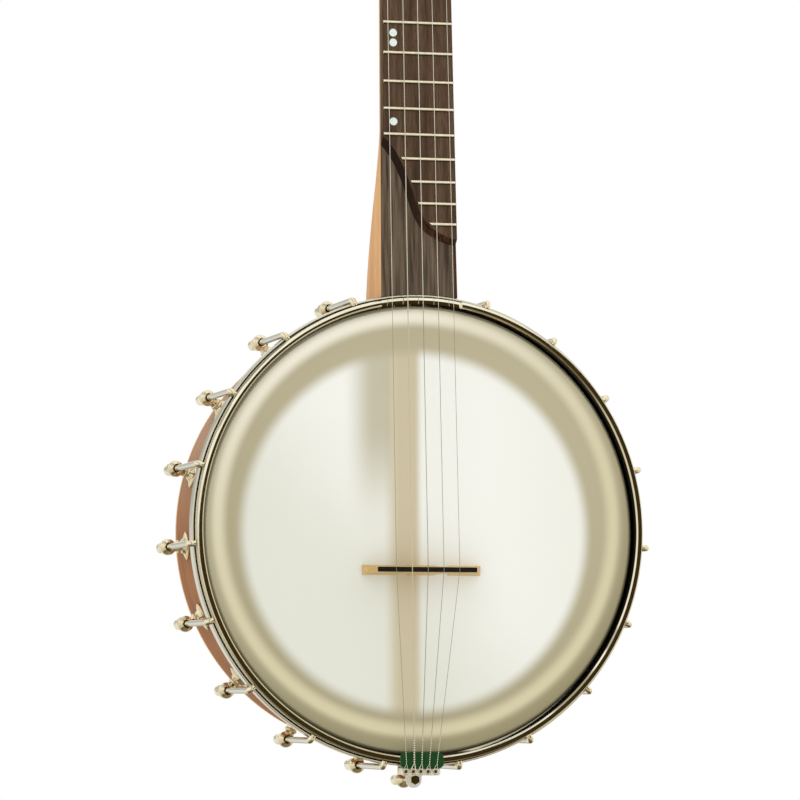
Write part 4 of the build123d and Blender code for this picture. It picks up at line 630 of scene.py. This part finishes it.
POST_ROW_X = -2.6            # middle of the row of posts
POST_SPACING = 4.95
ROW = range(-2, 3)           # places in the row, from the fifth string to the first
POST_XS = [POST_ROW_X + POST_SPACING * k for k in ROW]
POST_Z = -154.5
POST_R = 1.5
LOOP_Y = -8.5
LOOP_GAP = 0.05              # between the post and the wire
LOOP_TURN = math.radians(30)  # where the loop closes, from the neck's side of the post
LOOP_STEP = math.radians(15)
LOOP_STEPS = 7               # round each half of the post
LOOP_END = 3.2               # the twist's start and end, along the string from the loop
TWIST_END = 19.5
TWIST_PITCH = 3.0
TWIST_STEPS = 60
TWIST_TOP_Z = -133.5
TWIST_LOW_Z = -150.0
RUN_OVERLAP = 0.5            # the single wire starts this far inside the twist
BRIDGE_X, BRIDGE_TOP_Y, BRIDGE_Z = 0.7, -15.9, -25.75
BRIDGE_SPACING = 10.6
NUT_X, NUT_UP, NUT_HEIGHT = 3.087, 501.43, 1.5
NUT_SPACING = 9.27
FIFTH_NUT = (-20.76, 337.43, 2.6)  # across, up the neck and above the board's face
PEG_AXIS = Vector((0, -0.9594125, 0.2820066))
FIFTH_AXIS = Vector((0.9659258, -0.010748, -0.2585958))
NEAR_POST = 0.006            # in metres: the string's end is this close to its peg's axis
TIP = 0.75
STRING_GAUGE = {1: 0.16, 2: 0.19, 3: 0.22, 4: 0.32, 5: 0.16}  # radius of each string
WOUND = 4
WINDING_TURN = 14.0          # radians of the winding in each millimetre
HEAD_TOP = (152.0, 136.0)    # over the pale head the plain strings are painted darker, as painted shade
HEAD_LOW = (-136.0, -128.0)


def twisted(height, colour):
    """The colour with painted shade in the valleys between the turns of a string's twisted end."""
    valley = (height * (math.tau / (TWIST_PITCH / 2))).sin().fade(0.0, -0.7)
    valley = valley * height.fade(TWIST_TOP_Z, TWIST_TOP_Z - 1.0)
    valley = valley * height.fade(TWIST_LOW_Z - 1.0, TWIST_LOW_Z) * 0.8
    return valley.mix(colour, paint(92, 84, 56))


string_steel = Finish("string steel", metallic=0.6, roughness=0.35)
place = string_steel.place()
colour = place.noise(0.05, 3.0).ramp((0.3, paint(255, 252, 240)), (0.7, paint(240, 236, 222)))
height = place.parts()[2]
painted_head_shade = height.fade(*HEAD_TOP) * height.fade(*HEAD_LOW)
colour = painted_head_shade.mix(colour, paint(158, 154, 134))
string_steel.drive("Base Color", twisted(height, colour))

wound_steel = Finish("wound string", metallic=0.7, roughness=0.35)
place = wound_steel.place()
# painted shade and light along the winding's turns
winding_shade = (place.dot((0.0, 0.04, 1.0)) * WINDING_TURN).sin() * 0.5 + 0.5
colour = winding_shade.mix(paint(196, 192, 170), paint(236, 233, 216))
height = place.parts()[2]
colour = height.fade(TWIST_TOP_Z, TWIST_TOP_Z - 1.5).mix(colour, paint(252, 250, 238))
wound_steel.drive("Base Color", twisted(height, colour))


def string_end(node, peg, axis):
    """Where a CAD string reaches its peg's post: its highest point close to the post's axis."""
    low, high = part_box(f"peg_post_{peg}")
    middle = (low + high) / 2
    close = []
    for vertex in nodes[node].data.vertices:
        offset = vertex.co - middle
        if (offset - axis * offset.dot(axis)).length < NEAR_POST:
            close.append(vertex.co * 1000)
    top = max(close, key=lambda point: point.z)
    tip = [point for point in close if (point - top).length < TIP]
    return sum(tip, Vector()) / len(tip)


def wire(shape, path, radius, sides=8):
    """A round wire along a path."""
    rows = []
    for k, point in enumerate(path):
        ahead = (path[min(k + 1, len(path) - 1)] - path[max(k - 1, 0)]).normalized()
        place = frame_at(point, Vector((1, 0, 0.001)).cross(ahead), ahead)
        rows.append([place @ Vector((radius * math.cos(math.tau * j / sides),
                                     radius * math.sin(math.tau * j / sides), 0))
                     for j in range(sides)])
    shape.sheet(rows, around=True)


def string_wires(shape, post_x, over_bridge, over_nut, end, radius):
    """One string: its loop on the tail post, its twisted end, and its run to the peg."""
    loop_r = POST_R + LOOP_GAP + radius
    post = Vector((post_x, LOOP_Y, POST_Z))
    start = post + Vector((math.sin(LOOP_TURN), 0, math.cos(LOOP_TURN))) * loop_r
    run = (over_bridge - start).normalized()
    for side in (-1, 1):
        path = []
        for k in range(LOOP_STEPS + 1):
            turn = LOOP_STEP * k
            path.append(post + Vector((side * math.sin(turn), 0, -math.cos(turn))) * loop_r)
        for k in range(TWIST_STEPS + 1):
            reach = LOOP_END + (TWIST_END - LOOP_END) * k / TWIST_STEPS
            turn = math.tau * (reach - LOOP_END) / TWIST_PITCH + (0 if side > 0 else math.pi)
            path.append(start + run * reach + Vector((math.cos(turn), math.sin(turn), 0)) * radius)
        wire(shape, path, radius)
    wire(shape, [start + run * (TWIST_END - RUN_OVERLAP), over_bridge, over_nut, end], radius)


plain, wound = Shape(), Shape()
for number, gauge in STRING_GAUGE.items():
    across, up_neck, height = FIFTH_NUT
    axis = FIFTH_AXIS
    if number < 5:
        across, up_neck, height = NUT_X + (2.5 - number) * NUT_SPACING, NUT_UP, NUT_HEIGHT + gauge
        axis = PEG_AXIS
    over_nut = NECK_ORIGIN + Vector((across, 0, 0)) + neck_up * up_neck + lean_out * height
    over_bridge = Vector((BRIDGE_X + (3 - number) * BRIDGE_SPACING, BRIDGE_TOP_Y, BRIDGE_Z))
    end = string_end("wound_string" if number == WOUND else "plain_strings", number, axis)
    string_wires(wound if number == WOUND else plain, POST_XS[5 - number], over_bridge, over_nut,
                 end, gauge)
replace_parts(plain.piece("plain_wires", "root", string_steel), "plain_strings")
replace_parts(wound.piece("wound_wire", "root", wound_steel), "wound_string")


# ---------------------------------------------------------------------------------------------
# Tailpiece: a bent plate of satin-plated brass with five hollow posts riveted through its lip,
# each with a rolled rim. It hangs on the tail bolt by its turned-down tab.

POST_HEAD_Y = -9.4

satin = Finish("satin nickel", metallic=0.4, roughness=0.35)
x, y, z = satin.place().parts()
grain = satin.joined(x * 0.3, y * 2.0, z * 2.0).noise(1.0, 3.0)
satin.drive("Base Color", grain.ramp((0.35, paint(255, 254, 248)), (0.7, paint(238, 233, 220))))
satin.relief(grain, 0.004)
dress(satin, "tailpiece")

# the (height above the post's head, radius) of its rolled rim, and of the dark disc inside it,
# painted shade over the post's hollow
rim_profile = [(-0.02, 0.95), (0.2, 1.05), (0.36, 1.35), (0.36, 1.7), (0.2, 2.02), (-0.02, 2.1)]
hollow_profile = [(0.04, 0.0), (0.04, 1.0), (-0.02, 1.0)]
rims, hollow_shades = Shape(), Shape()
for post_x in POST_XS:
    place = frame_at((post_x, POST_HEAD_Y, POST_Z), (1, 0, 0), (0, -1, 0))
    rims.turned(place, rim_profile, closed=True)
    hollow_shades.turned(place, hollow_profile, 20)
rims.piece("post_rims", "root", nickel)
# painted shade: a dark disc over each post's hollow, its tone varied at random
painted_hollow_shade = Finish("painted hollow shade", roughness=0.7)
shade_tone = painted_hollow_shade.place().noise(2.0, 3.0)
painted_hollow_shade.drive("Base Color", shade_tone.ramp((0.3, paint(30, 26, 18)), (0.7, paint(52, 46, 34))))
hollow_shades.piece("post_hollows", "root", painted_hollow_shade)


# ---------------------------------------------------------------------------------------------
# Felt: a strip of green wool felt cut with rounded ends and laid under the strings, on the
# hoop's edge, where it stops their ends from ringing. The strings press grooves into it.

FELT_CORNER_R = 3.4
FELT_TRIM = 0.15             # how far its ends lie inside the CAD strip, and how much they wave
WAVE_TURN = 2.1              # radians in each millimetre down the strip
LOOP_SIDE = 0.85             # the string leaves its post this far to the right
FELT_SHARE = 0.05            # part of the way from the post to the bridge
GROOVE_DEPTH = 0.42
GROOVE_WIDTH = 0.9
PUFF = 0.12                  # the pile stands up in soft humps
PUFF_TURN = (1.7, 0.35)      # radians in each millimetre across and down
LIP_HEIGHT = 0.25            # the cut edge curls up
LIP_WIDTH = 0.8
SAG = 0.06                   # inside the hoop the strip hangs towards the head
ACROSS, DOWN = 72, 20

felt = Finish("felt", roughness=1.0, specular_ior_level=0.1, sheen_weight=0.3)
fibre = felt.place().noise(2.6, 4.0, 0.7)
felt.drive("Base Color", fibre.ramp((0.3, paint(8, 48, 14)), (0.7, paint(22, 80, 28))))
felt.relief(fibre, 0.25)

felt_low, felt_high = (Vector(painted_corner_shade) * 1000 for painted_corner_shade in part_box("tail_felt"))
pressed_xs = []
for k, post_x in zip(ROW, POST_XS):
    bridge_x = BRIDGE_X + BRIDGE_SPACING * k
    pressed_xs.append(post_x + LOOP_SIDE + (bridge_x - post_x) * FELT_SHARE)

top, bottom = [], []
for j in range(DOWN + 1):
    z = felt_high.z + (felt_low.z - felt_high.z) * j / DOWN
    to_end = min(z - felt_low.z, felt_high.z - z, FELT_CORNER_R)
    cut = FELT_CORNER_R - math.sqrt(FELT_CORNER_R ** 2 - (FELT_CORNER_R - to_end) ** 2)
    wave = FELT_TRIM * math.sin(z * WAVE_TURN)
    half = (felt_high.x - felt_low.x) / 2 - FELT_TRIM - cut - wave
    sag = max(0.0, z + HOOP_INNER_R) ** 2 * SAG
    lip = LIP_HEIGHT * max(0.0, 1 - to_end / LIP_WIDTH)
    top.append([])
    bottom.append([])
    for i in range(ACROSS + 1):
        x = (felt_high.x + felt_low.x) / 2 + half * (2 * i / ACROSS - 1)
        pressed = sum(math.exp(-((x - at) / GROOVE_WIDTH) ** 2) for at in pressed_xs)
        puff = PUFF * math.sin(x * PUFF_TURN[0] + z * PUFF_TURN[1])
        top[-1].append((x, felt_low.y + GROOVE_DEPTH * pressed + sag - puff + lip, z))
        bottom[-1].append((x, felt_high.y + sag - 0.1 * lip, z))


def border(rows):
    """The points round the edge of a sheet's rows."""
    return (rows[0] + [row[-1] for row in rows] + rows[-1][::-1]
            + [row[0] for row in rows][::-1])


pad = Shape()
pad.sheet(top)
pad.sheet([row[::-1] for row in bottom])
pad.sheet([border(bottom), border(top)], around=True)
felt_pad = pad.piece("felt_pad", "root", felt, 80)
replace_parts(felt_pad, "tail_felt")


# ---------------------------------------------------------------------------------------------
# Peg knobs: turned from pale pearloid plastic, whose swirls run right through it, and fixed one
# on the shaft of each peg.

pearloid = Finish("pearloid", roughness=0.2, coat_weight=0.6)
swirl = pearloid.place().noise(0.35, 4.0, 0.55, 2.0)
pearloid.drive("Base Color", swirl.ramp((0.3, paint(214, 206, 188)), (0.5, paint(238, 233, 220)),
                                        (0.7, paint(226, 218, 200))))
dress(pearloid, *(f"peg_knob_{k}" for k in PEGS))


# ---------------------------------------------------------------------------------------------
# Stage: a bright, even studio. Polished metal sees its cream walls with a few dark bands, a
# greyer wall behind the instrument, and a darker room in front.

FRONT_WAY = Vector((0.33, -1.0, -0.06)).normalized()
LIGHT_WAY = (-0.25, -0.75, 0.6)
LEAST_LIGHT, MOST_LIGHT = 0.77, 1.10
PILLAR_AT = -0.5             # left of the instrument
LEDGE_AT = 0.62              # above it

world = bpy.data.worlds.new("studio")
bpy.context.scene.world = world
world.use_nodes = True


class Studio(Finish):
    """The world's nodes, written with the same signals as a finish."""

    def __init__(self, tree):
        self.tree = tree
        self.shader = tree.nodes["Background"]


studio = Studio(world.node_tree)
ray = studio.node("TexCoord", output="Generated")
right, away, up = ray.parts()
wall = up.fade(-0.6, 0.7).mix(paint(214, 204, 178), paint(253, 250, 238))
behind = away.fade(0.86, 0.93) * right.fade(0.12, -0.1)
wall = behind.mix(wall, up.fade(-0.05, 0.15).mix(paint(238, 238, 230), paint(192, 190, 178)))
pillar = abs(right - PILLAR_AT).fade(0.16, 0.10) * away.fade(0.5, 0.3)
wall = (pillar * 0.7).mix(wall, paint(120, 108, 74))
floor = up.fade(-0.55, -0.75)
wall = (floor * 0.8).mix(wall, paint(96, 82, 52))
ledge = abs(up - LEDGE_AT).fade(0.07, 0.04)
wall = (ledge * 0.6).mix(wall, paint(128, 118, 88))
front = ray.dot(tuple(FRONT_WAY)).fade(0.930, 0.955)
window = (up * 2.0 - right).fade(-0.03, 0.01)
seen_in_metal = front.mix(wall, window.mix(paint(52, 41, 17), paint(252, 250, 240)))
even = ray.dot(LIGHT_WAY).fade(-1.0, 1.0).mix((LEAST_LIGHT, LEAST_LIGHT, LEAST_LIGHT, 1.0),
                                              (MOST_LIGHT, MOST_LIGHT, MOST_LIGHT, 1.0))
glossy = studio.node("LightPath", output="Is Glossy Ray")
camera_ray = studio.node("LightPath", output="Is Camera Ray")
light = glossy.mix(even, seen_in_metal)
studio.drive("Color", camera_ray.mix(light, (1.0, 1.0, 1.0, 1.0)))

scene = bpy.context.scene
scene.view_settings.view_transform = "Standard"

CAMERA_AT = (-1.0617, -3.4059, -0.1542)
CAMERA_AIM = Vector((-0.01305, 0.0, 0.08337))
CAMERA_ROLL = math.radians(-0.122)

camera_data = bpy.data.cameras.new("camera")
camera_data.lens = 250.66
camera_data.sensor_width = 36.0
camera_data.clip_end = 50.0
camera = bpy.data.objects.new("camera", camera_data)
scene.collection.objects.link(camera)
scene.camera = camera
camera.location = CAMERA_AT
aim = CAMERA_AIM - camera.location
roll = Matrix.Rotation(CAMERA_ROLL, 4, "Z")
camera.rotation_euler = (aim.to_track_quat("-Z", "Y").to_matrix().to_4x4() @ roll).to_euler()
